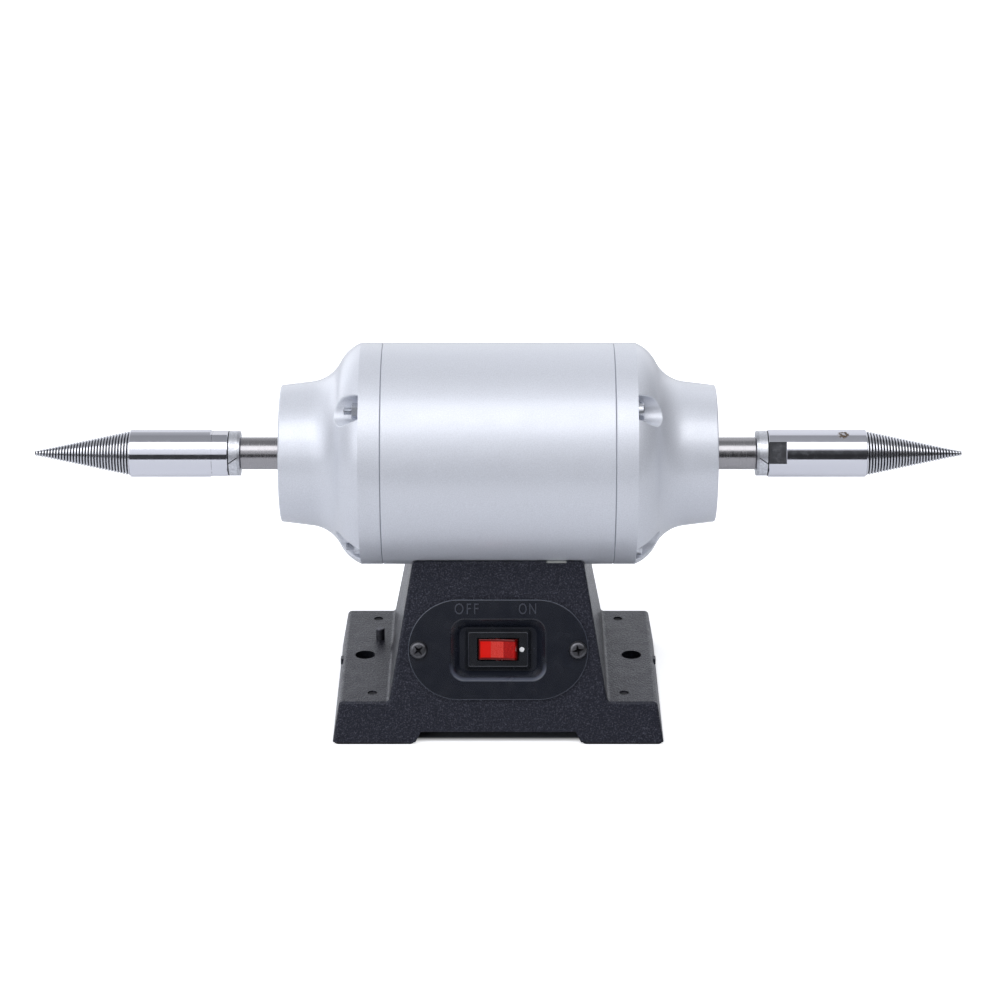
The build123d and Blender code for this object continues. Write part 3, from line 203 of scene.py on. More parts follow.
def noise(tree, size_mm, detail=2.0, roughness=0.5, stretch=(1, 1, 1)):
    """Noise whose grains are about size_mm wide, on the piece's own coordinates."""
    where = own_place(tree)
    if stretch != (1, 1, 1):
        where = add_node(tree, "Mapping", {"Vector": where, "Scale": stretch}).outputs["Vector"]
    scale = 1 / (size_mm * MM)
    return add_node(tree, "TexNoise", {"Vector": where, "Scale": scale, "Detail": detail,
                                       "Roughness": roughness}).outputs["Fac"]


def spread(tree, value, low, high, to_low=0.0, to_high=1.0):
    """Carries low..high over to to_low..to_high, and holds the ends."""
    return add_node(tree, "MapRange", {"Value": value, "From Min": low, "From Max": high,
                                       "To Min": to_low, "To Max": to_high}).outputs["Result"]


def mix(tree, share, first, second):
    """Colour mixed between two colours or sockets."""
    node = add_node(tree, "Mix", data_type="RGBA")
    for socket, value in ((node.inputs[0], share), (node.inputs[6], first), (node.inputs[7], second)):
        if isinstance(value, bpy.types.NodeSocket):
            tree.links.new(value, socket)
        else:
            socket.default_value = value if isinstance(value, float) else (*value, 1)
    return node.outputs[2]


def bump(tree, shader, height, depth_mm):
    node = add_node(tree, "Bump", {"Height": height, "Distance": depth_mm * MM, "Strength": 1.0})
    feed(tree, shader, "Normal", node.outputs["Normal"])


def feed(tree, shader, socket, value):
    tree.links.new(value, shader.inputs[socket])


def sums(tree, operation, *values):
    """Joins numbers or sockets two by two with one operation."""
    total = values[0]
    for value in values[1:]:
        total = add_node(tree, "Math", {0: total, 1: value}, operation=operation).outputs[0]
    return total


def away(tree, value):
    """Size of a value without its sign."""
    return add_node(tree, "Math", {0: value}, operation="ABSOLUTE").outputs[0]


def past(tree, value, limit):
    """How far a value is past a limit, or 0 before it."""
    return sums(tree, "MAXIMUM", sums(tree, "SUBTRACT", value, limit), 0.0)


def across_and_up(tree, across, up):
    """Straight distance of a place that lies so far across and so far up."""
    squares = [sums(tree, "POWER", side, 2.0) for side in (across, up)]
    return sums(tree, "POWER", sums(tree, "ADD", *squares), 0.5)


def band(tree, value, low, high, fade):
    """1 from low to high, and 0 further than the fade past them."""
    return sums(tree, "MULTIPLY", spread(tree, value, low - fade, low),
                spread(tree, value, high + fade, high))


def drift(tree, size_mm, low, high):
    """A value that drifts between low and high, in patches about size_mm wide."""
    return spread(tree, noise(tree, size_mm), 0.3, 0.7, low, high)


def near_point(tree, centre, radius_mm, soft_mm):
    """1 near a place, 0 past the radius."""
    far = add_node(tree, "VectorMath", {0: own_place(tree), 1: centre}, operation="DISTANCE")
    return spread(tree, far.outputs["Value"], (radius_mm + soft_mm) * MM, (radius_mm - soft_mm) * MM)


def up_panel(tree):
    """How far up the leaning switch panel a place lies."""
    node = add_node(tree, "VectorMath", {0: own_place(tree), 1: PANEL_UP}, operation="DOT_PRODUCT")
    return node.outputs["Value"]


def shade(base, share):
    """A colour made darker or lighter."""
    return tuple(min(1, c * share) for c in base)


SEAM_HALF, SEAM_FADE = 0.1 * MM, 0.18 * MM  # painted shade: a thin dark line where the motor tube meets a bell


def metallic_enamel(name, base):
    """Two-coat metallic enamel, sprayed: fine flakes that sparkle under a faint orange peel.

    The joint between tube and bells keeps a thin dark line, painted as the shade in the gap between them, where
    the spray doesn't reach."""
    material, tree, shader = new_material(name, base, Metallic=0.35, Roughness=0.44,
                                          Coat_Weight=0.7, Coat_Roughness=0.16)
    # real flakes are about a tenth as wide: they are drawn coarser to be seen from a step away
    flakes = spread(tree, noise(tree, 0.45, 1), 0.3, 0.7)
    sprayed = mix(tree, flakes, shade(base, 0.94), shade(base, 1.06))
    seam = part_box("motor_tube")[1].x
    # painted shade in the gap where the tube meets a bell
    seam_shade = band(tree, away(tree, own_axes(tree)["X"]), seam - SEAM_HALF, seam + SEAM_HALF, SEAM_FADE)
    feed(tree, shader, "Base Color", mix(tree, seam_shade, sprayed, srgb("#979AA5")))
    feed(tree, shader, "Roughness", drift(tree, 9, 0.43, 0.49))
    bump(tree, shader, noise(tree, 1.1), 0.006)
    return material


WRINKLE_MM, GRAIN_MM, SAND_SKIN_MM = 1.3, 0.7, 12  # widths of the enamel's wrinkles and of the casting's skin
RUBBED_X = (24.5 * MM, 33 * MM)  # where the paint is rubbed off the lip of the saddle, across the lathe
RUBBED_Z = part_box("base_casting")[1].z - 0.9 * MM  # and above which height


def wrinkle_enamel(name, base):
    """Black wrinkle enamel on rough iron: fine wrinkles over the coarse skin of the sand casting.

    Its crests are painted lighter, a painted highlight, and are glossier; the bolt holes are painted dark and
    dull, a painted shade."""
    material, tree, shader = new_material(name, base, Roughness=0.4, IOR=1.36, Specular_IOR_Level=0.6,
                                          Specular_Tint=(0.66, 0.74, 1.0, 1.0), Coat_Roughness=0.3,
                                          Coat_IOR=1.3)
    wrinkles = add_node(tree, "TexVoronoi", {"Vector": own_place(tree), "Scale": 1 / (WRINKLE_MM * MM)},
                        feature="SMOOTH_F1").outputs["Distance"]
    grain = noise(tree, GRAIN_MM, 3, 0.7)
    # painted highlight: the grain's crests are painted lighter, over a tone that differs at random
    painted = mix(tree, spread(tree, grain, 0.52, 0.68), shade(base, 0.9), srgb("#47464F"))
    feed(tree, shader, "Coat Weight", spread(tree, grain, 0.42, 0.6, 0.35, 1.0))
    axes = own_axes(tree)
    wear_and_highlight = sums(tree, "MULTIPLY", band(tree, axes["X"], *RUBBED_X, MM),
                  spread(tree, axes["Z"], RUBBED_Z, RUBBED_Z + 0.4 * MM))
    painted = mix(tree, wear_and_highlight, painted, srgb("#B5B6B0"))
    bolts = next(m for m in frame["record"]["mounts"] if m["name"] == "base_bolts")["dims"]
    # painted shade: the walls of the bolt holes are painted near black and dull
    beside_hole = sums(tree, "SUBTRACT", away(tree, axes["X"]), bolts["spacing_x_mm"] / 2 * MM)
    radius = (bolts["hole_r_mm"] + 0.15) * MM
    hole_shade = spread(tree, across_and_up(tree, beside_hole, axes["Y"]), radius, radius - 0.1 * MM)
    feed(tree, shader, "Base Color", mix(tree, hole_shade, painted, srgb("#050506")))
    feed(tree, shader, "Roughness", sums(tree, "MAXIMUM", drift(tree, 6, 0.34, 0.48), hole_shade))
    bump(tree, shader, sums(tree, "ADD", wrinkles, grain, noise(tree, SAND_SKIN_MM, 3)), 0.32)
    return material


def moulded_plastic(name, base, roughness, grain_mm=0.6, depth_mm=0.01):
    """Moulded plastic: a satin skin with the spark-eroded grain of its mould, drawn coarser than real."""
    material, tree, shader = new_material(name, base, Roughness=roughness, IOR=1.53)
    feed(tree, shader, "Roughness", drift(tree, 7, roughness * 0.85, roughness * 1.15))
    bump(tree, shader, noise(tree, grain_mm, 3), depth_mm)
    return material


DISH_CORNER, DISH_HALF_X, DISH_HALF_UP = 7 * MM, 23.5 * MM, 15.25 * MM  # mouth of the plate's dish


def plate_plastic(name, base):
    """The switch plate's satin ABS, with a painted highlight along its outline and on the lower rim of the dish.
    """
    material, tree, shader = new_material(name, base, Roughness=0.24, IOR=1.53)
    feed(tree, shader, "Roughness", drift(tree, 7, 0.2, 0.28))
    bump(tree, shader, noise(tree, 0.6, 3), 0.01)
    heights = [v.co.dot(PANEL_UP) for v in frame["nodes"]["switch_plate"].data.vertices]
    radius, middle = (max(heights) - min(heights)) / 2, (max(heights) + min(heights)) / 2
    up = up_panel(tree)
    beside, above = away(tree, own_axes(tree)["X"]), away(tree, sums(tree, "SUBTRACT", up, middle))
    past_end = past(tree, beside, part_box("switch_plate")[1].x - radius)
    # painted highlight: a lighter line along the plate's outline
    outline = spread(tree, across_and_up(tree, past_end, above), radius - 0.5 * MM, radius - 0.25 * MM)
    wear_and_highlight = mix(tree, outline, base, srgb("#474B56"))
    to_corner = across_and_up(tree, past(tree, beside, DISH_HALF_X - DISH_CORNER),
                              past(tree, above, DISH_HALF_UP - DISH_CORNER))
    from_mouth = away(tree, sums(tree, "SUBTRACT", to_corner, DISH_CORNER - 0.5 * MM))
    # painted highlight on the lower, upward-facing rim of the dish
    dish_rim_highlight = sums(tree, "MULTIPLY", spread(tree, from_mouth, 1.2 * MM, 0.3 * MM),
                   spread(tree, up, middle - 6 * MM, middle - 11 * MM))
    feed(tree, shader, "Base Color", mix(tree, dish_rim_highlight, wear_and_highlight, srgb("#4C505D")))
    return material


RUST_X, RUST_TURN = 170.8 * MM, math.radians(72)  # place of the rust, along the barrel and up from its front
RUST_MM, RUST_SOFT_MM = 2.6, 1.2
RING_X, RING_HALF = -141.8 * MM, 0.05 * MM  # faint ring on the left barrel


def bright_chrome(name):
    """Bright chrome plating on a turned barrel: a mirror with faint lathe marks and specks.

    The right barrel carries one brown rust scratch, and the left one a faint ring at its spanner flats."""
    chrome = srgb("#E2E3EB")
    material, tree, shader = new_material(name, chrome, Metallic=1.0, Roughness=0.08)
    low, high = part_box("right_spindle")
    radius = (high.z - low.z) / 2
    spot = AXIS + Vector((RUST_X, -radius * math.cos(RUST_TURN), radius * math.sin(RUST_TURN)))
    rust = sums(tree, "MULTIPLY", near_point(tree, spot, RUST_MM, RUST_SOFT_MM),
                spread(tree, noise(tree, 1.1, 3, 0.7), 0.4, 0.54))
    rust = spread(tree, rust, 0.25, 0.5)
    ring = band(tree, own_axes(tree)["X"], RING_X - RING_HALF, RING_X + RING_HALF, 0.1 * MM)
    ring = sums(tree, "MULTIPLY", ring, spread(tree, noise(tree, 2.4), 0.4, 0.6))
    plated = mix(tree, ring, chrome, srgb("#6B6C76"))
    feed(tree, shader, "Base Color", mix(tree, rust, plated, srgb("#4E3D28")))
    feed(tree, shader, "Metallic", sums(tree, "SUBTRACT", 1.0, rust))
    plain = spread(tree, noise(tree, 3.5, 3), 0.35, 0.75, 0.05, 0.15)
    feed(tree, shader, "Roughness", sums(tree, "MAXIMUM", plain, sums(tree, "MULTIPLY", rust, 0.7)))
    bump(tree, shader, noise(tree, 2.2, 3, stretch=(4, 1, 1)), 0.004)
    return material


def cut_thread(name):
    """Turned steel thread: its crests are painted bright, a painted highlight, and its roots painted dark, a
    painted shade.
    """
    material, tree, shader = new_material(name, srgb("#9A9CA2"), Metallic=1.0, Roughness=0.3)
    groove = add_node(tree, "Attribute", attribute_name="groove").outputs["Fac"]
    share = spread(tree, groove, 0.3, 0.8)
    # painted highlight on the crests and painted shade in the roots
    feed(tree, shader, "Base Color", mix(tree, share, srgb("#DEDFE4"), srgb("#26262B")))
    feed(tree, shader, "Roughness", spread(tree, groove, 0.1, 0.9, 0.22, 0.5))
    bump(tree, shader, noise(tree, 0.8, 3), 0.03)
    return material


def ground_steel(name, base, roughness):
    """Ground or turned steel: rings round the axis, drawn coarser than real, stretch the highlight."""
    material, tree, shader = new_material(name, base, Metallic=1.0, Roughness=roughness)
    rings = noise(tree, 0.5, stretch=(1, 0.05, 0.05))
    feed(tree, shader, "Roughness", spread(tree, rings, 0.3, 0.7, roughness * 0.8, roughness * 1.25))
    bump(tree, shader, rings, 0.004)
    return material


def zinc_plate(name, base=None, roughness=0.4, gap=None):
    """Zinc plating on rough steel: cool, slightly cloudy and pitted.

    gap is where a washer meets the barrel, as far from the middle: that edge is painted dark, a painted shade
    where the two meet."""
    base = base or srgb("#E4E6EC")
    material, tree, shader = new_material(name, base, Metallic=1.0, Roughness=roughness)
    clouds = noise(tree, 1.2, 4, 0.6)
    plated = mix(tree, spread(tree, clouds, 0.35, 0.7), base, shade(base, 0.72))
    if gap:
        # painted shade along the edge where the washer meets the barrel
        edge = spread(tree, away(tree, own_axes(tree)["X"]), gap - 0.55 * MM, gap - 0.4 * MM)
        plated = mix(tree, edge, plated, srgb("#16161A"))
    feed(tree, shader, "Base Color", plated)
    feed(tree, shader, "Roughness", spread(tree, clouds, 0.3, 0.7, roughness * 0.8, roughness * 1.3))
    bump(tree, shader, noise(tree, 0.8, 3), 0.05)
    return material


def dull_material(name, base, roughness, metallic=0.0, grain_mm=1.0, depth_mm=0.02):
    """Plain finish, mostly of a piece that the shell hides, with the grain of its surface."""
    material, tree, shader = new_material(name, base, Roughness=roughness, Metallic=metallic)
    grain = noise(tree, grain_mm, 3)
    feed(tree, shader, "Base Color", mix(tree, spread(tree, grain, 0.35, 0.65), shade(base, 0.8), base))
    bump(tree, shader, grain, depth_mm)
    return material


FACET_EDGES = (-3.6 * MM, 2.6 * MM)  # where the rocker's three facets meet, across the switch
FACET_HEIGHT = 1.5 * MM  # the facets stand at least so far out of the pivot


def translucent_red(name, base):
    """Tinted polycarbonate rocker: glossy, and light enough inside to glow; its facets get painted lit and shaded
    tones, and its edges a painted shade.
    """
    material, tree, shader = new_material(name, base, Roughness=0.16, IOR=1.58,
                                          Subsurface_Weight=0.25, Subsurface_Scale=0.002)
    shader.inputs["Subsurface Radius"].default_value = (1.0, 0.15, 0.1)
    across = own_axes(tree)["X"]
    speckle = noise(tree, 0.5, 3)
    # middle facet: a frosted grain, painted lighter as if lit; right facet: painted darker as if shaded, with
    # painted glints
    frosted_lit_facet = mix(tree, spread(tree, speckle, 0.35, 0.65), srgb("#CC2920"), srgb("#DA463D"))
    shaded_facet = mix(tree, spread(tree, speckle, 0.5, 0.7), srgb("#A20403"), srgb("#CC1B13"))
    facets = base
    for edge, colour_past in zip(FACET_EDGES, (frosted_lit_facet, shaded_facet)):
        facets = mix(tree, spread(tree, across, edge - 0.15 * MM, edge + 0.15 * MM), facets, colour_past)
    corners = [v.co - PIVOT for v in frame["nodes"]["switch_rocker"].data.vertices
               if (v.co - PIVOT).dot(PANEL_OUT) > FACET_HEIGHT]
    half, end = (max(abs(c.dot(axis)) for c in corners) for axis in (PANEL_UP, PANEL_X))
    beside = away(tree, sums(tree, "SUBTRACT", up_panel(tree), PIVOT.dot(PANEL_UP)))
    # painted shade along the rocker's edges
    edge_shade = sums(tree, "MAXIMUM", spread(tree, beside, half - 1.3 * MM, half - 0.95 * MM),
                  spread(tree, away(tree, across), end - 1.0 * MM, end - 0.7 * MM))
    feed(tree, shader, "Base Color", mix(tree, edge_shade, facets, srgb("#6A0A08")))
    bump(tree, shader, noise(tree, 4), 0.01)
    return material


def paint(material, *nodes):
    """Gives CAD nodes a material."""
    for name in nodes:
        data = frame["nodes"][name].data
        data.materials.clear()
        data.materials.append(material)


# ---------- modelling helpers
def add(kind, **settings):
    """Adds a primitive alone in the selection and returns it."""
    bpy.ops.object.select_all(action="DESELECT")
    getattr(bpy.ops.mesh, f"primitive_{kind}_add")(**settings)
    return bpy.context.object


def only(*objects):
    bpy.ops.object.select_all(action="DESELECT")
    for item in objects:
        item.select_set(True)
    bpy.context.view_layer.objects.active = objects[0]


@contextmanager
def editing(item, select_all=True):
    """Edit mode on one piece, with all of it selected or with the selection that it had."""
    only(item)
    bpy.ops.object.mode_set(mode="EDIT")
    if select_all:
        bpy.ops.mesh.select_all(action="SELECT")
    yield
    bpy.ops.object.mode_set(mode="OBJECT")


def clear_selection(item, mode="VERT"):
    """Deselects all of a piece, for its vertices or edges to be picked one by one."""
    only(item)
    bpy.ops.object.mode_set(mode="EDIT")
    bpy.ops.mesh.select_mode(type=mode)
    bpy.ops.mesh.select_all(action="DESELECT")
    bpy.ops.object.mode_set(mode="OBJECT")


def apply_place(item):
    only(item)
    bpy.ops.object.transform_apply(location=True, rotation=True, scale=True)


def apply_all(item):
    only(item)
    for modifier in list(item.modifiers):
        bpy.ops.object.modifier_apply(modifier=modifier.name)
    return item


def cut(item, cutter, operation="DIFFERENCE"):
    """Cuts or joins with another closed piece, which is used up."""
    modifier = item.modifiers.new("Cut", "BOOLEAN")
    modifier.object, modifier.operation, modifier.solver = cutter, operation, "EXACT"
    apply_all(item)
    bpy.data.objects.remove(cutter)


def join(first, *others):
    only(first, *others)
    bpy.ops.object.join()
    return first


def smooth(item, degrees=35):
    only(item)
    bpy.ops.object.shade_smooth_by_angle(angle=math.radians(degrees))
    return item


def outward(item):
    """Turns every face of a closed piece outwards."""
    with editing(item):
        bpy.ops.mesh.normals_make_consistent(inside=False)
    return item


def give(item, material):
    item.data.materials.append(material)


def place(item, name, body, slot, *nodes):
    """Names a finished piece, rides it on its body and hides the nodes it stands for."""
    item.name = item.data.name = name
    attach(item, body)
    if nodes:
        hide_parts(*nodes)


# ---------- spindles
TAPER_LENGTH = 48 * MM
TIP_TRIM = 0.2 * MM  # cut off the sharp tip
THREAD_CREST = (0.34, 0.68)  # where a crest begins and ends, in pitches
THREAD_STEPS = 40  # facets in one turn
OUTLINE_ORDER = (0, 1, 3, 2)  # a plane's corners in the order of its outline


def threaded_nose(sizes, base_x, tip_x):
    """Straight thread along +X: one pitch of its outline, screwed round the axis."""
    pitch, crest = sizes.pitch, sizes.crest / 2
    root = crest - sizes.depth
    nose = add("plane", size=1)
    with editing(nose, select_all=False):
        bpy.ops.mesh.delete(type="ONLY_FACE")
    outline = ((0, root), *((share * pitch, crest) for share in THREAD_CREST), (pitch, root))
    for index, (x, radius) in zip(OUTLINE_ORDER, outline):
        nose.data.vertices[index].co = (x, 0, radius)
    closing = {OUTLINE_ORDER[0], OUTLINE_ORDER[-1]}
    for edge in nose.data.edges:
        edge.select = set(edge.vertices) == closing
    with editing(nose, select_all=False):
        bpy.ops.mesh.delete(type="EDGE")
    screw = nose.modifiers.new("Thread", "SCREW")
    screw.axis, screw.angle, screw.screw_offset = "X", 2 * math.pi, pitch
    screw.iterations = math.ceil((tip_x - base_x) / pitch) + 2
    screw.steps = screw.render_steps = THREAD_STEPS
    screw.use_merge_vertices, screw.merge_threshold = True, 0.01 * MM
    return apply_all(nose)


def narrow(nose, sizes, base_x, tip_x):
    """Pulls a straight thread in to its taper and notes how deep in the groove each point lies."""
    crest, tip = sizes.crest / 2, sizes.tip / 2
    groove = nose.data.attributes.new("groove", "FLOAT", "POINT")
    for vertex in nose.data.vertices:
        drop = crest - math.hypot(vertex.co.y, vertex.co.z)
        share = min(max((vertex.co.x - base_x) / (tip_x - base_x), 0), 1)
        radius = crest + (tip - crest) * share
        fade = min(1, radius / (3 * sizes.depth))
        scale = max(radius - drop * fade, 0.1 * MM) / (crest - drop)
        vertex.co.y *= scale
        vertex.co.z *= scale
        groove.data[vertex.index].value = min(drop / sizes.depth, 1)


def spanner_flat(sizes, near, radius, sign, turn):
    """Block that cuts one spanner flat."""
    length_past_end = sizes.flat_length + MM
    block = add("cube", size=1, location=(near + sizes.flat_length / 2 - MM / 2, 0,
                                          sign * (sizes.flats / 2 + radius / 2)))
    block.scale = (length_past_end, 3 * radius, radius)
    apply_place(block)
    block.data.transform(Matrix.Rotation(turn, 4, "X"))
    return block


def spindle(sizes, side, node, chrome, thread):
    """Barrel with chamfered ends and two spanner flats, and its threaded nose."""
    low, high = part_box(node)
    near, far = sorted((abs(low.x), abs(high.x)))
    radius = (high.z - low.z) / 2
    taper = far - TAPER_LENGTH
    barrel = add("cylinder", vertices=128, radius=radius, depth=taper - near,
                 location=((near + taper) / 2, 0, 0), rotation=(0, math.pi / 2, 0))
    apply_place(barrel)
    bevel = barrel.modifiers.new("Chamfer", "BEVEL")
    bevel.width, bevel.segments, bevel.limit_method = sizes.chamfer, 2, "ANGLE"
    apply_all(barrel)
    turn = spindle_turn(node, near)
    for sign in (-1, 1):
        cut(barrel, spanner_flat(sizes, near, radius, sign, turn))
    give(barrel, chrome)
    nose = threaded_nose(sizes, taper, far)
    nose.data.transform(Matrix.Translation((taper - 1.5 * sizes.pitch, 0, 0)))
    narrow(nose, sizes, taper, far)
    for x, tip_end in ((taper - 0.5 * sizes.pitch, False), (far - TIP_TRIM, True)):
        with editing(nose):
            bpy.ops.mesh.bisect(plane_co=(x, 0, 0), plane_no=(1, 0, 0), use_fill=True,
                                clear_inner=not tip_end, clear_outer=tip_end)
    give(nose, thread)
    whole = join(barrel, nose)
    whole.data.transform(Matrix.Translation(AXIS))
    if side < 0:
        whole.data.transform(Matrix.Scale(-1, 4, (1, 0, 0)))
    smooth(outward(whole), 22)
    place(whole, node + "_finished", "rotor", "bright_chrome", node)


def spindle_turn(node, near):
    """Angle of the spanner flats round the axis, from the spindle's solid; near is its inner end."""
    def out(face):
        return (face.center - AXIS).dot(face.normal)

    flats = [face for face in frame["nodes"][node].data.polygons
             if abs(face.normal.x) <= 0.01 and abs(abs(face.center.x) - near) <= 9 * MM
             and face.area > 10 * MM * MM and out(face) > 8 * MM]
    if not flats:
        return 0.0
    normal = min(flats, key=out).normal
    return math.atan2(-normal.y, normal.z)


class LATHE_OT_spindles(Operator):
    """Model both spindles with their barrels, spanner flats and tapered threads"""

    bl_idname = "lathe.spindles"
    bl_label = "Threaded spindles"

    def execute(self, context):
        sizes = context.scene.lathe_spindles
        chrome, thread = bright_chrome("bright chrome plate"), cut_thread("turned thread")
        spindle(sizes, -1, "left_spindle", chrome, thread)
        spindle(sizes, 1, "right_spindle", chrome, thread)
        return {"FINISHED"}


# ---------- screws
CROSS_ARM = 0.27  # width of a cross recess's arm, as a share of its length


def cross_head(radius, height, rounding, cross, depth):
    """Pan head standing on z = 0 with a cross recess in its top."""
    head = add("cylinder", vertices=64, radius=radius, depth=height, location=(0, 0, height / 2))
    apply_place(head)
    clear_selection(head, "EDGE")
    for edge in head.data.edges:
        edge.select = all(head.data.vertices[v].co.z > height * 0.9 for v in edge.vertices)
    with editing(head, select_all=False):
        bpy.ops.mesh.bevel(offset=rounding, segments=6, affect="EDGES")
    for turn in (0, math.pi / 2):
        arm = add("cone", vertices=4, radius1=0, radius2=cross, depth=depth * 2, location=(0, 0, height))
        apply_place(arm)
        arm.data.transform(Matrix.Scale(CROSS_ARM, 4, (0, 1, 0)))
        arm.data.transform(Matrix.Rotation(turn, 4, "Z"))
        cut(head, arm)
    return head


PLATE_SCREW_HEAD, PLATE_SCREW_CROSS, PLATE_SCREW_RECESS = 8.7 * MM, 6.4 * MM, 1.7 * MM
PLATE_SCREW_SHANK, PLATE_SCREW_LENGTH = 4 * MM, 8 * MM
PLATE_SCREW_TURNS = ((-1, 40), (1, 12))  # side of the plate, and how far its screw is turned


class LATHE_OT_plate_screws(Operator):
    """Model the two black cross-recessed screws of the switch plate"""

    bl_idname = "lathe.plate_screws"
    bl_label = "Plate screws"

    def execute(self, context):
        black = zinc_plate("black oxide", srgb("#6A6A6E"), 0.34)
        proud = reach("switch_plate_screws", PANEL_OUT) - reach("switch_plate", PANEL_OUT)
        radius = PLATE_SCREW_HEAD / 2
        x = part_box("switch_plate_screws")[1].x - radius
        screws = []
        for sign, turn in PLATE_SCREW_TURNS:
            head = cross_head(radius, proud, 0.62 * proud, PLATE_SCREW_CROSS, PLATE_SCREW_RECESS)
            shank = add("cylinder", vertices=32, radius=PLATE_SCREW_SHANK / 2, depth=PLATE_SCREW_LENGTH,
                        location=(0, 0, -PLATE_SCREW_LENGTH / 2))
            apply_place(shank)
            screw = join(head, shank)
            screw.data.transform(panel_matrix(sign * x, 0, 0) @ Matrix.Rotation(math.radians(turn), 4, "Z"))
            screws.append(screw)
        whole = smooth(outward(join(*screws)), 30)
        give(whole, black)
        place(whole, "plate_screws_finished", "stand", "black_oxide", "switch_plate_screws")
        return {"FINISHED"}


BOLT_HEAD, BOLT_HEAD_HEIGHT = 8.4 * MM, 3.0 * MM
BOLT_SHANK_START = 5 * MM  # plain shank from here, under the ridges of the thread
BOLT_SHANK, BOLT_THREAD, BOLT_PITCH, BOLT_THREAD_RUN = 3.5 * MM, 4 * MM, 0.7 * MM, 8 * MM
BOLT_ROOT = 0.82  # thread's width at its roots, as a share of the width over its crests


def bolt_centres():
    """y and z of the four through bolts, from their solids."""
    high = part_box("through_bolts")[1]
    y, z = high.y - BOLT_HEAD / 2, high.z - AXIS.z - BOLT_HEAD / 2
    return [(sy * y, AXIS.z + sz * z) for sy in (-1, 1) for sz in (-1, 1)]


class LATHE_OT_through_bolts(Operator):
    """Model the through bolts: cross-recessed heads on the right, threaded ends on the left"""

    bl_idname = "lathe.through_bolts"
    bl_label = "Through bolts"

    def execute(self, context):
        low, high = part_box("through_bolts")
        seat, start = high.x - BOLT_HEAD_HEIGHT, low.x + BOLT_SHANK_START
        bolts = []
        for index, (y, z) in enumerate(bolt_centres()):
            head = cross_head(BOLT_HEAD / 2, BOLT_HEAD_HEIGHT, 0.9 * MM, 4.4 * MM, 1.5 * MM)
            turn = math.radians(25 + 50 * index)
            head.data.transform(Matrix.Rotation(math.pi / 2, 4, "Y") @ Matrix.Rotation(turn, 4, "Z"))
            head.data.transform(Matrix.Translation((seat, y, z)))
            shank = add("cylinder", vertices=32, radius=BOLT_SHANK / 2, depth=seat - start,
                        location=((seat + start) / 2, y, z), rotation=(0, math.pi / 2, 0))
            apply_place(shank)
            bolts += [head, shank, thread_end(low.x, y, z)]
        whole = smooth(outward(join(*bolts)), 30)
        give(whole, zinc_plate("bolt zinc", srgb("#DADDE4"), 0.32))
        place(whole, "through_bolts_finished", "stand", "zinc_steel", "through_bolts")
        return {"FINISHED"}


def thread_end(end_x, y, z):
    """Threaded end of a bolt, from end_x inwards, as stacked ridges."""
    run = BOLT_THREAD_RUN
    end = add("cylinder", vertices=32, radius=BOLT_THREAD / 2, depth=run)
    clear_selection(end, "EDGE")
    for edge in end.data.edges:
        heights = [end.data.vertices[v].co.z for v in edge.vertices]
        edge.select = abs(heights[0] - heights[1]) > run / 2
    with editing(end, select_all=False):
        bpy.ops.mesh.subdivide(number_cuts=2 * round(run / BOLT_PITCH) - 1)
    for vertex in end.data.vertices:
        half_turns = (vertex.co.z + run / 2) / BOLT_PITCH * 2
        if round(half_turns) % 2 == 0:  # a root of the thread
            vertex.co.x *= BOLT_ROOT
            vertex.co.y *= BOLT_ROOT
    end.data.transform(Matrix.Rotation(math.pi / 2, 4, "Y"))
    end.data.transform(Matrix.Translation((end_x + run / 2, y, z)))
    return end


NUT_FLATS, NUT_BORE = 7 * MM, 4.1 * MM
NUT_CROWN = 3.75 * MM  # radius where the crown's cone meets the nut's faces


class LATHE_OT_bolt_nuts(Operator):
    """Model the hexagon nuts in the pockets of the left bell"""

    bl_idname = "lathe.bolt_nuts"
    bl_label = "Bolt nuts"

    def execute(self, context):
        low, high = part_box("through_bolt_nuts")
        height = high.x - low.x
        nuts = []
        for y, z in bolt_centres():
            nut = add("cylinder", vertices=6, radius=NUT_FLATS / math.sqrt(3), depth=height)
            crown = add("cone", vertices=48, radius1=NUT_CROWN + height, radius2=NUT_CROWN - 0.5 * MM,
                        depth=height + 0.5 * MM, location=(0, 0, 0.1 * MM))
            cut(nut, crown, "INTERSECT")
            bore = add("cylinder", vertices=32, radius=NUT_BORE / 2, depth=3 * height)
            cut(nut, bore)
            angle = math.atan2(z - AXIS.z, y)
            nut.data.transform(Matrix.Rotation(-math.pi / 2, 4, "Y"))
            nut.data.transform(Matrix.Rotation(angle, 4, "X"))
            nut.data.transform(Matrix.Translation(((low.x + high.x) / 2, y, z)))
            nuts.append(nut)
        whole = smooth(outward(join(*nuts)), 30)
        give(whole, zinc_plate("nut zinc", srgb("#D4D8E0"), 0.36))
        place(whole, "through_bolt_nuts_finished", "stand", "zinc_steel", "through_bolt_nuts")
        return {"FINISHED"}


# ---------- switch
WORDS = (("OFF", -15.6 * MM, 0.79), ("ON", 14.5 * MM, 0.69))  # word, place across, and how far condensed
CAP_HEIGHT = 0.7  # height of a capital, as a share of the letter size
DOT_X = 11.7 * MM


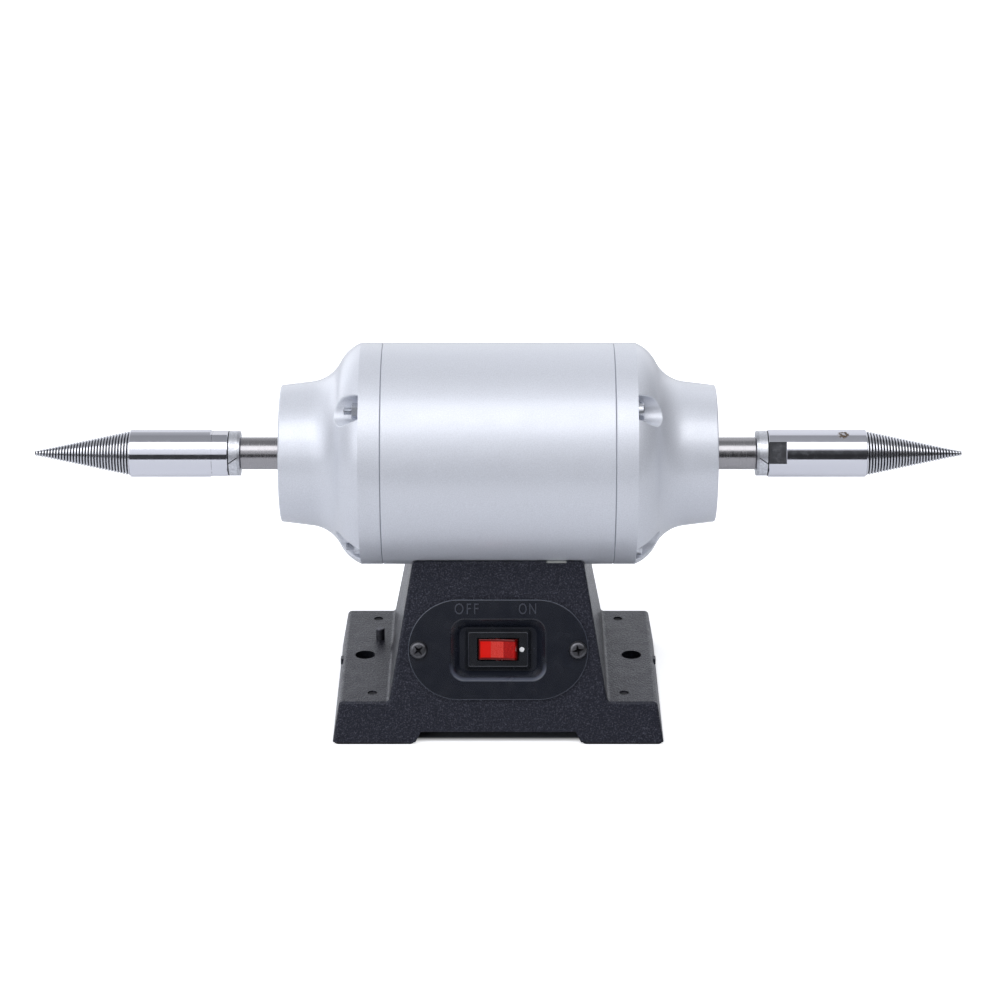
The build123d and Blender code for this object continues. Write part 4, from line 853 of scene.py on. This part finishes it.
class LATHE_OT_switch_words(Operator):
    """Model the moulded OFF and ON on the switch plate"""

    bl_idname = "lathe.switch_words"
    bl_label = "Switch words"

    def execute(self, context):
        sizes = context.scene.lathe_switch
        # painted highlight: the moulded letters are coloured lighter than the plate, standing in for the light on
        # their edges
        black = moulded_plastic("moulded letters", srgb("#3C3F49"), 0.35)
        words = []
        for text, x, condensed in WORDS:
            bpy.ops.object.select_all(action="DESELECT")
            bpy.ops.object.text_add()
            word = context.object
            word.data.body = text
            word.data.size = sizes.letter_height / CAP_HEIGHT
            word.data.align_x, word.data.align_y = "CENTER", "CENTER"
            word.data.space_character = 1.25
            word.data.extrude = sizes.letter_rise
            word.data.offset = -0.09 * MM
            word.data.bevel_depth = 0.08 * MM
            bpy.ops.object.convert(target="MESH")
            word = context.object
            narrowed = Matrix.Scale(condensed, 4, (1, 0, 0))
            word.data.transform(panel_matrix(x, sizes.letter_up, 0) @ narrowed)
            words.append(word)
        whole = smooth(join(*words), 30)
        give(whole, black)
        place(whole, "switch_words", "stand", "black_abs")
        return {"FINISHED"}


class LATHE_OT_switch_dot(Operator):
    """Model the white dot printed on the switch frame"""

    bl_idname = "lathe.switch_dot"
    bl_label = "Switch dot"

    def execute(self, context):
        sizes = context.scene.lathe_switch
        face = reach("switch_housing", PANEL_OUT) - reach("switch_plate", PANEL_OUT)
        dot = add("cylinder", vertices=48, radius=sizes.dot / 2, depth=0.1 * MM)
        bevel = dot.modifiers.new("Edge", "BEVEL")
        bevel.width, bevel.segments = 0.04 * MM, 2
        apply_all(dot)
        dot.data.transform(panel_matrix(DOT_X, 0, face + 0.02 * MM))
        white = dull_material("white pad print", srgb("#F4F5F6"), 0.35, grain_mm=0.8, depth_mm=0.003)
        give(smooth(dot), white)
        place(dot, "switch_dot", "stand", "gloss_black")
        return {"FINISHED"}


def rounded_copy(node, width):
    """Copy of a CAD node with its sharp edges rounded."""
    source = frame["nodes"][node]
    copy = source.copy()
    copy.data = source.data.copy()
    bpy.context.scene.collection.objects.link(copy)
    copy.parent = None
    copy.matrix_world = Matrix.Identity(4)
    for key in list(copy.keys()):
        del copy[key]
    copy.data.materials.clear()
    with editing(copy):
        bpy.ops.mesh.remove_doubles(threshold=0.005 * MM)
        bpy.ops.mesh.customdata_custom_splitnormals_clear()
        bpy.ops.mesh.dissolve_limited(angle_limit=math.radians(2))
    bpy.ops.object.shade_smooth()
    bevel = copy.modifiers.new("Rounding", "BEVEL")
    bevel.width, bevel.segments, bevel.limit_method = width, 3, "ANGLE"
    bevel.angle_limit = math.radians(25)
    bevel.harden_normals = True
    return apply_all(copy)


LIP_INSET, LIP_RADIUS, LIP_CORNER = 0.35 * MM, 0.3 * MM, 0.8 * MM


class LATHE_OT_bezel_lip(Operator):
    """Model the thin raised lip round the switch frame"""

    bl_idname = "lathe.bezel_lip"
    bl_label = "Bezel lip"

    def execute(self, context):
        face = reach("switch_housing", PANEL_OUT)
        rim = [v.co for v in frame["nodes"]["switch_housing"].data.vertices
               if v.co.dot(PANEL_OUT) > face - 0.01 * MM]
        half_x = max(abs(c.x) for c in rim) - LIP_INSET
        half_up = max(abs((c - PIVOT).dot(PANEL_UP)) for c in rim) - LIP_INSET
        lip = add("plane", size=1)
        lip.scale = (2 * half_x, 2 * half_up, 1)
        apply_place(lip)
        clear_selection(lip)
        with editing(lip):
            bpy.ops.mesh.bevel(offset=LIP_CORNER, segments=5, affect="VERTICES")
            bpy.ops.mesh.select_all(action="SELECT")
            bpy.ops.mesh.delete(type="ONLY_FACE")
        bpy.ops.object.convert(target="CURVE")
        lip = bpy.context.object
        lip.data.bevel_depth, lip.data.bevel_resolution = LIP_RADIUS, 3
        bpy.ops.object.convert(target="MESH")
        lip = bpy.context.object
        lip.data.transform(panel_matrix(0, 0, face - reach("switch_plate", PANEL_OUT)))
        nylon = moulded_plastic("polished nylon lip", srgb("#2A2C33"), 0.16, 2.0, 0.004)
        give(smooth(outward(lip), 60), nylon)
        place(lip, "switch_bezel_lip", "stand", "gloss_black")
        return {"FINISHED"}


class LATHE_OT_rocker(Operator):
    """Model the red rocker with its rounded moulded edges"""

    bl_idname = "lathe.rocker"
    bl_label = "Rocker"

    def execute(self, context):
        rocker = rounded_copy("switch_rocker", context.scene.lathe_switch.edge)
        give(rocker, translucent_red("tinted polycarbonate", context.scene.lathe_finish.rocker[:]))
        place(rocker, "switch_rocker_finished", "rocker", "red_rocker", "switch_rocker")
        return {"FINISHED"}


# ---------- finishes of the CAD nodes
class LATHE_OT_motor_shell(Operator):
    """Enamel the motor tube and both end bells"""

    bl_idname = "lathe.motor_shell"
    bl_label = "Motor shell"

    def execute(self, context):
        enamel = metallic_enamel("metallic enamel", context.scene.lathe_finish.enamel[:])
        paint(enamel, "motor_tube", "left_end_bell", "right_end_bell")
        return {"FINISHED"}


class LATHE_OT_pedestal(Operator):
    """Paint the cast pedestal and finish its pads, stud and grommet"""

    bl_idname = "lathe.pedestal"
    bl_label = "Pedestal"

    def execute(self, context):
        paint(wrinkle_enamel("wrinkle enamel", context.scene.lathe_finish.wrinkle[:]), "base_casting")
        paint(dull_material("moulded rubber", srgb("#26262A"), 0.7), "foot_pads", "cord_grommet",
              "lead_grommet")
        paint(zinc_plate("blackened steel", srgb("#6C6C72"), 0.4), "earth_stud")
        paint(zinc_plate("sheet zinc plate"), "bottom_cover", "cover_screws")
        return {"FINISHED"}


class LATHE_OT_shaft(Operator):
    """Finish the ground shaft and the washers at its shoulders"""

    bl_idname = "lathe.shaft"
    bl_label = "Shaft and washers"

    def execute(self, context):
        paint(ground_steel("ground shaft steel", srgb("#A9A7AA"), 0.23), "shaft")
        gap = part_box("right_lock_washer")[1].x
        paint(zinc_plate("spring washer zinc", gap=gap), "left_lock_washer", "right_lock_washer")
        paint(zinc_plate("flat washer zinc", srgb("#D0D2D8"), 0.34), "thrust_washers")
        paint(dull_material("pressed felt", srgb("#57534B"), 0.95, grain_mm=0.4, depth_mm=0.1), "shaft_seals")
        return {"FINISHED"}


BODY_EDGE = 0.3 * MM  # rounding of the switch body's edges


class LATHE_OT_switch_plate(Operator):
    """Finish the moulded switch plate and the switch body"""

    bl_idname = "lathe.switch_plate"
    bl_label = "Switch plate"

    def execute(self, context):
        paint(plate_plastic("moulded ABS plate", context.scene.lathe_finish.plate[:]), "switch_plate")
        body = rounded_copy("switch_housing", BODY_EDGE)
        give(body, moulded_plastic("gloss nylon", srgb("#17191E"), 0.25, 2.0, 0.004))
        place(body, "switch_housing_finished", "stand", "gloss_black", "switch_housing")
        paint(dull_material("drawn brass", srgb("#C9A75A"), 0.3, 1.0), "switch_terminals", "terminal_screws")
        return {"FINISHED"}


class LATHE_OT_inner_pieces(Operator):
    """Finish the pieces inside the motor and the pedestal"""

    bl_idname = "lathe.inner_pieces"
    bl_label = "Inner pieces"

    def execute(self, context):
        paint(dull_material("electrical steel", srgb("#76777B"), 0.45, 1.0, 0.5), "stator_core", "rotor_core")
        paint(dull_material("enamelled copper", srgb("#A5582A"), 0.35, 0.6, 0.8, 0.1), "stator_winding")
        paint(dull_material("cast aluminium", srgb("#B9BBC0"), 0.45, 1.0), "rotor_end_rings", "run_capacitor")
        paint(ground_steel("bearing steel", srgb("#B5B5B8"), 0.15), "left_bearing_outer_ring",
              "right_bearing_outer_ring", "left_bearing_inner_ring", "right_bearing_inner_ring",
              "bearing_wave_washer")
        paint(zinc_plate("inner zinc plate"), "mounting_screws", "mounting_washers", "capacitor_clamp",
              "clamp_screws")
        paint(dull_material("moulded nylon", srgb("#D8D5C8"), 0.5), "terminal_block")
        paint(dull_material("woven sleeve", srgb("#1D1D1F"), 0.8, grain_mm=0.5, depth_mm=0.1),
              "motor_leads", "switch_leads")
        return {"FINISHED"}


# ---------- studio
CAMERA_LIFT = 0.62  # light that the floor adds for the camera alone, where nothing stands over it


def paper(name, base):
    """White paper sweep: it keeps the soft shadow, and the camera sees it as white, except under the pedestal,
    where a painted shadow darkens it and the camera lift is left out.
    """
    material, tree, shader = new_material(name, base, Roughness=0.9)
    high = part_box("base_casting")[1]
    axes = own_axes(tree)
    # painted shadow: under the pedestal the floor's colour is darkened and the camera lift taken away
    clear = sums(tree, "MAXIMUM", spread(tree, away(tree, axes["X"]), high.x - 3 * MM, high.x + MM),
                 spread(tree, away(tree, axes["Y"]), high.y - 8.5 * MM, high.y - 3.5 * MM))
    feed(tree, shader, "Base Color", mix(tree, clear, srgb("#6A6B70"), base))
    rays = add_node(tree, "LightPath").outputs["Is Camera Ray"]
    lift = sums(tree, "MULTIPLY", rays, clear, CAMERA_LIFT)
    glow = add_node(tree, "Emission", {"Strength": lift, "Color": (1, 1, 1, 1)})
    both = add_node(tree, "AddShader", {0: shader.outputs[0], 1: glow.outputs[0]})
    tree.links.new(both.outputs[0], tree.nodes["Material Output"].inputs["Surface"])
    return material


# what a mirror would see round the lathe: degrees over the top from the front horizon, then the light
# on the left half and on the right half
SURROUNDINGS = [(-90, 0.44, 0.42), (-14, 0.30, 0.28), (-8, 0.04, 0.03), (13, 0.03, 0.02), (17, 0.54, 0.03),
                (33, 0.64, 0.06), (40, 0.68, 0.56), (76, 0.62, 0.62), (80, 0.24, 0.28), (116, 0.22, 0.24),
                (124, 0.28, 0.54), (144, 0.34, 0.58), (150, 0.56, 0.58), (178, 0.60, 0.60)]
# how the same light changes from the far left to the far right
SIDES = [(-1.0, 0.0), (-0.95, 0.15), (-0.84, 1.9), (-0.5, 1.7), (-0.3, 1.3), (-0.12, 1.0), (0.12, 1.0),
         (0.28, 1.3), (0.5, 1.15), (0.7, 0.5), (0.84, 0.05), (1.0, 0.0)]
WORLD_LIGHT = 1.5  # strength of the surroundings


def ramp(tree, share, stops):
    """Colours that follow each other along a share from 0 to 1; a stop is a place and its colour."""
    node = add_node(tree, "ValToRGB", {"Fac": share})
    elements = node.color_ramp.elements
    for element, stop in zip(elements, (stops[0], stops[-1])):
        element.position, element.color = stop
    for position, colour_there in stops[1:-1]:
        elements.new(position).color = colour_there
    return node.outputs["Color"]


def bands(tree, share, column):
    """One half's bands of light, from SURROUNDINGS; the back horizon is plain."""
    rows = [((row[0] + 180) / 360, row[column]) for row in SURROUNDINGS]
    stops = [(position, (0.97 * light, 0.99 * light, 1.04 * light, 1)) for position, light in rows]
    plain = (0.5, 0.5, 0.52, 1)
    return ramp(tree, share, [(0.0, plain), *stops, (1.0, plain)])


def studio_world(scene):
    """Soft studio: bands of light round the spindle axis, and plain white for the camera."""
    world = bpy.data.worlds.new("studio")
    scene.world = world
    world.use_nodes = True
    tree = world.node_tree
    axes = add_node(tree, "SeparateXYZ", {"Vector": add_node(tree, "TexCoord").outputs["Generated"]})
    front = sums(tree, "MULTIPLY", axes.outputs["Y"], -1.0)
    angle = sums(tree, "ARCTAN2", axes.outputs["Z"], front)
    share = spread(tree, angle, -math.pi, math.pi)
    half = spread(tree, axes.outputs["X"], -0.06, 0.06)
    light = mix(tree, half, bands(tree, share, 1), bands(tree, share, 2))
    sides = ramp(tree, spread(tree, axes.outputs["X"], -1.0, 1.0),
                 [((x + 1) / 2, (change / 2, change / 2, change / 2, 1)) for x, change in SIDES])
    change = sums(tree, "MULTIPLY", sides, 2 * WORLD_LIGHT)
    seen = add_node(tree, "LightPath").outputs["Is Camera Ray"]
    background = tree.nodes["Background"]
    tree.links.new(mix(tree, seen, light, (1.0, 1.0, 1.0)), background.inputs["Color"])
    strength = add_node(tree, "Mix", {0: seen, 2: change, 3: 1.0}, data_type="FLOAT").outputs[0]
    tree.links.new(strength, background.inputs["Strength"])


FLOOR_WIDTH, FLOOR_DEPTH, FLOOR_FRONT = 9, 7, 0.75  # metres; the front edge lies before the lathe
LAMP_ELEVATION = math.radians(58.5)  # of the softbox, seen from the motor
LAMP_DISTANCE, LAMP_SIZE = 1.5, (2.4, 0.88)


class LATHE_OT_stage(Operator):
    """Build the floor, the lights and the camera"""

    bl_idname = "lathe.stage"
    bl_label = "Studio"

    def execute(self, context):
        stage = context.scene.lathe_stage
        floor = add("plane", size=1)
        floor.name = "floor"
        floor.scale = (FLOOR_WIDTH, FLOOR_DEPTH, 1)
        floor.location = (0, FLOOR_DEPTH / 2 - FLOOR_FRONT, cad_box[0].z)
        apply_place(floor)
        give(floor, paper("paper sweep", stage.floor[:]))
        aim = Vector((stage.aim_x, 0, stage.aim_z))
        back = Vector((0, -math.cos(stage.elevation), math.sin(stage.elevation)))
        camera_data = bpy.data.cameras.new("camera")
        camera_data.lens, camera_data.clip_start, camera_data.clip_end = stage.lens, 0.01, 100
        camera = bpy.data.objects.new("camera", camera_data)
        context.scene.collection.objects.link(camera)
        camera.location = aim + back * stage.distance
        camera.rotation_euler = (-back).to_track_quat("-Z", "Y").to_euler()
        context.scene.camera = camera
        softbox(context.scene, stage.softbox)
        studio_world(context.scene)
        context.scene.view_settings.view_transform = "Standard"
        return {"FINISHED"}


def softbox(scene, power):
    """Large soft lamp before and above the motor, aimed at it."""
    lamp = bpy.data.lights.new("softbox", "AREA")
    lamp.shape, lamp.size, lamp.size_y, lamp.energy = "RECTANGLE", *LAMP_SIZE, power
    item = bpy.data.objects.new("softbox", lamp)
    scene.collection.objects.link(item)
    towards = Vector((0, -math.cos(LAMP_ELEVATION), math.sin(LAMP_ELEVATION)))
    item.location = AXIS + LAMP_DISTANCE * towards
    item.rotation_euler = (-towards).to_track_quat("-Z", "Y").to_euler()


# ---------- panel and registration
OPERATORS = [LATHE_OT_motor_shell, LATHE_OT_pedestal, LATHE_OT_shaft, LATHE_OT_spindles,
             LATHE_OT_through_bolts, LATHE_OT_bolt_nuts, LATHE_OT_switch_plate, LATHE_OT_plate_screws,
             LATHE_OT_switch_words, LATHE_OT_switch_dot, LATHE_OT_bezel_lip, LATHE_OT_rocker,
             LATHE_OT_inner_pieces, LATHE_OT_stage]


class LATHE_PT_finish(Panel):
    bl_label = "Polishing lathe"
    bl_idname = "LATHE_PT_finish"
    bl_space_type = "VIEW_3D"
    bl_region_type = "UI"
    bl_category = "Lathe"

    def draw(self, context):
        for group in SETTINGS:
            settings = getattr(context.scene, group)
            box = self.layout.box()
            for name in settings.bl_rna.properties.keys():
                if name not in ("rna_type", "name"):
                    box.prop(settings, name)
        for operator in OPERATORS:
            self.layout.operator(operator.bl_idname)


def register():
    for group in SETTINGS.values():
        bpy.utils.register_class(group)
    for name, group in SETTINGS.items():
        setattr(bpy.types.Scene, name, PointerProperty(type=group))
    for item in [*OPERATORS, LATHE_PT_finish]:
        bpy.utils.register_class(item)


def unregister():
    for item in [LATHE_PT_finish, *reversed(OPERATORS)]:
        bpy.utils.unregister_class(item)
    for name, group in SETTINGS.items():
        delattr(bpy.types.Scene, name)
        bpy.utils.unregister_class(group)


def main():
    """Makes every piece and the studio."""
    register()
    bpy.ops.lathe.motor_shell()
    bpy.ops.lathe.pedestal()
    bpy.ops.lathe.shaft()
    bpy.ops.lathe.spindles()
    bpy.ops.lathe.through_bolts()
    bpy.ops.lathe.bolt_nuts()
    bpy.ops.lathe.switch_plate()
    bpy.ops.lathe.plate_screws()
    bpy.ops.lathe.switch_words()
    bpy.ops.lathe.switch_dot()
    bpy.ops.lathe.bezel_lip()
    bpy.ops.lathe.rocker()
    bpy.ops.lathe.inner_pieces()
    bpy.ops.lathe.stage()


if __name__ == "__main__":
    main()
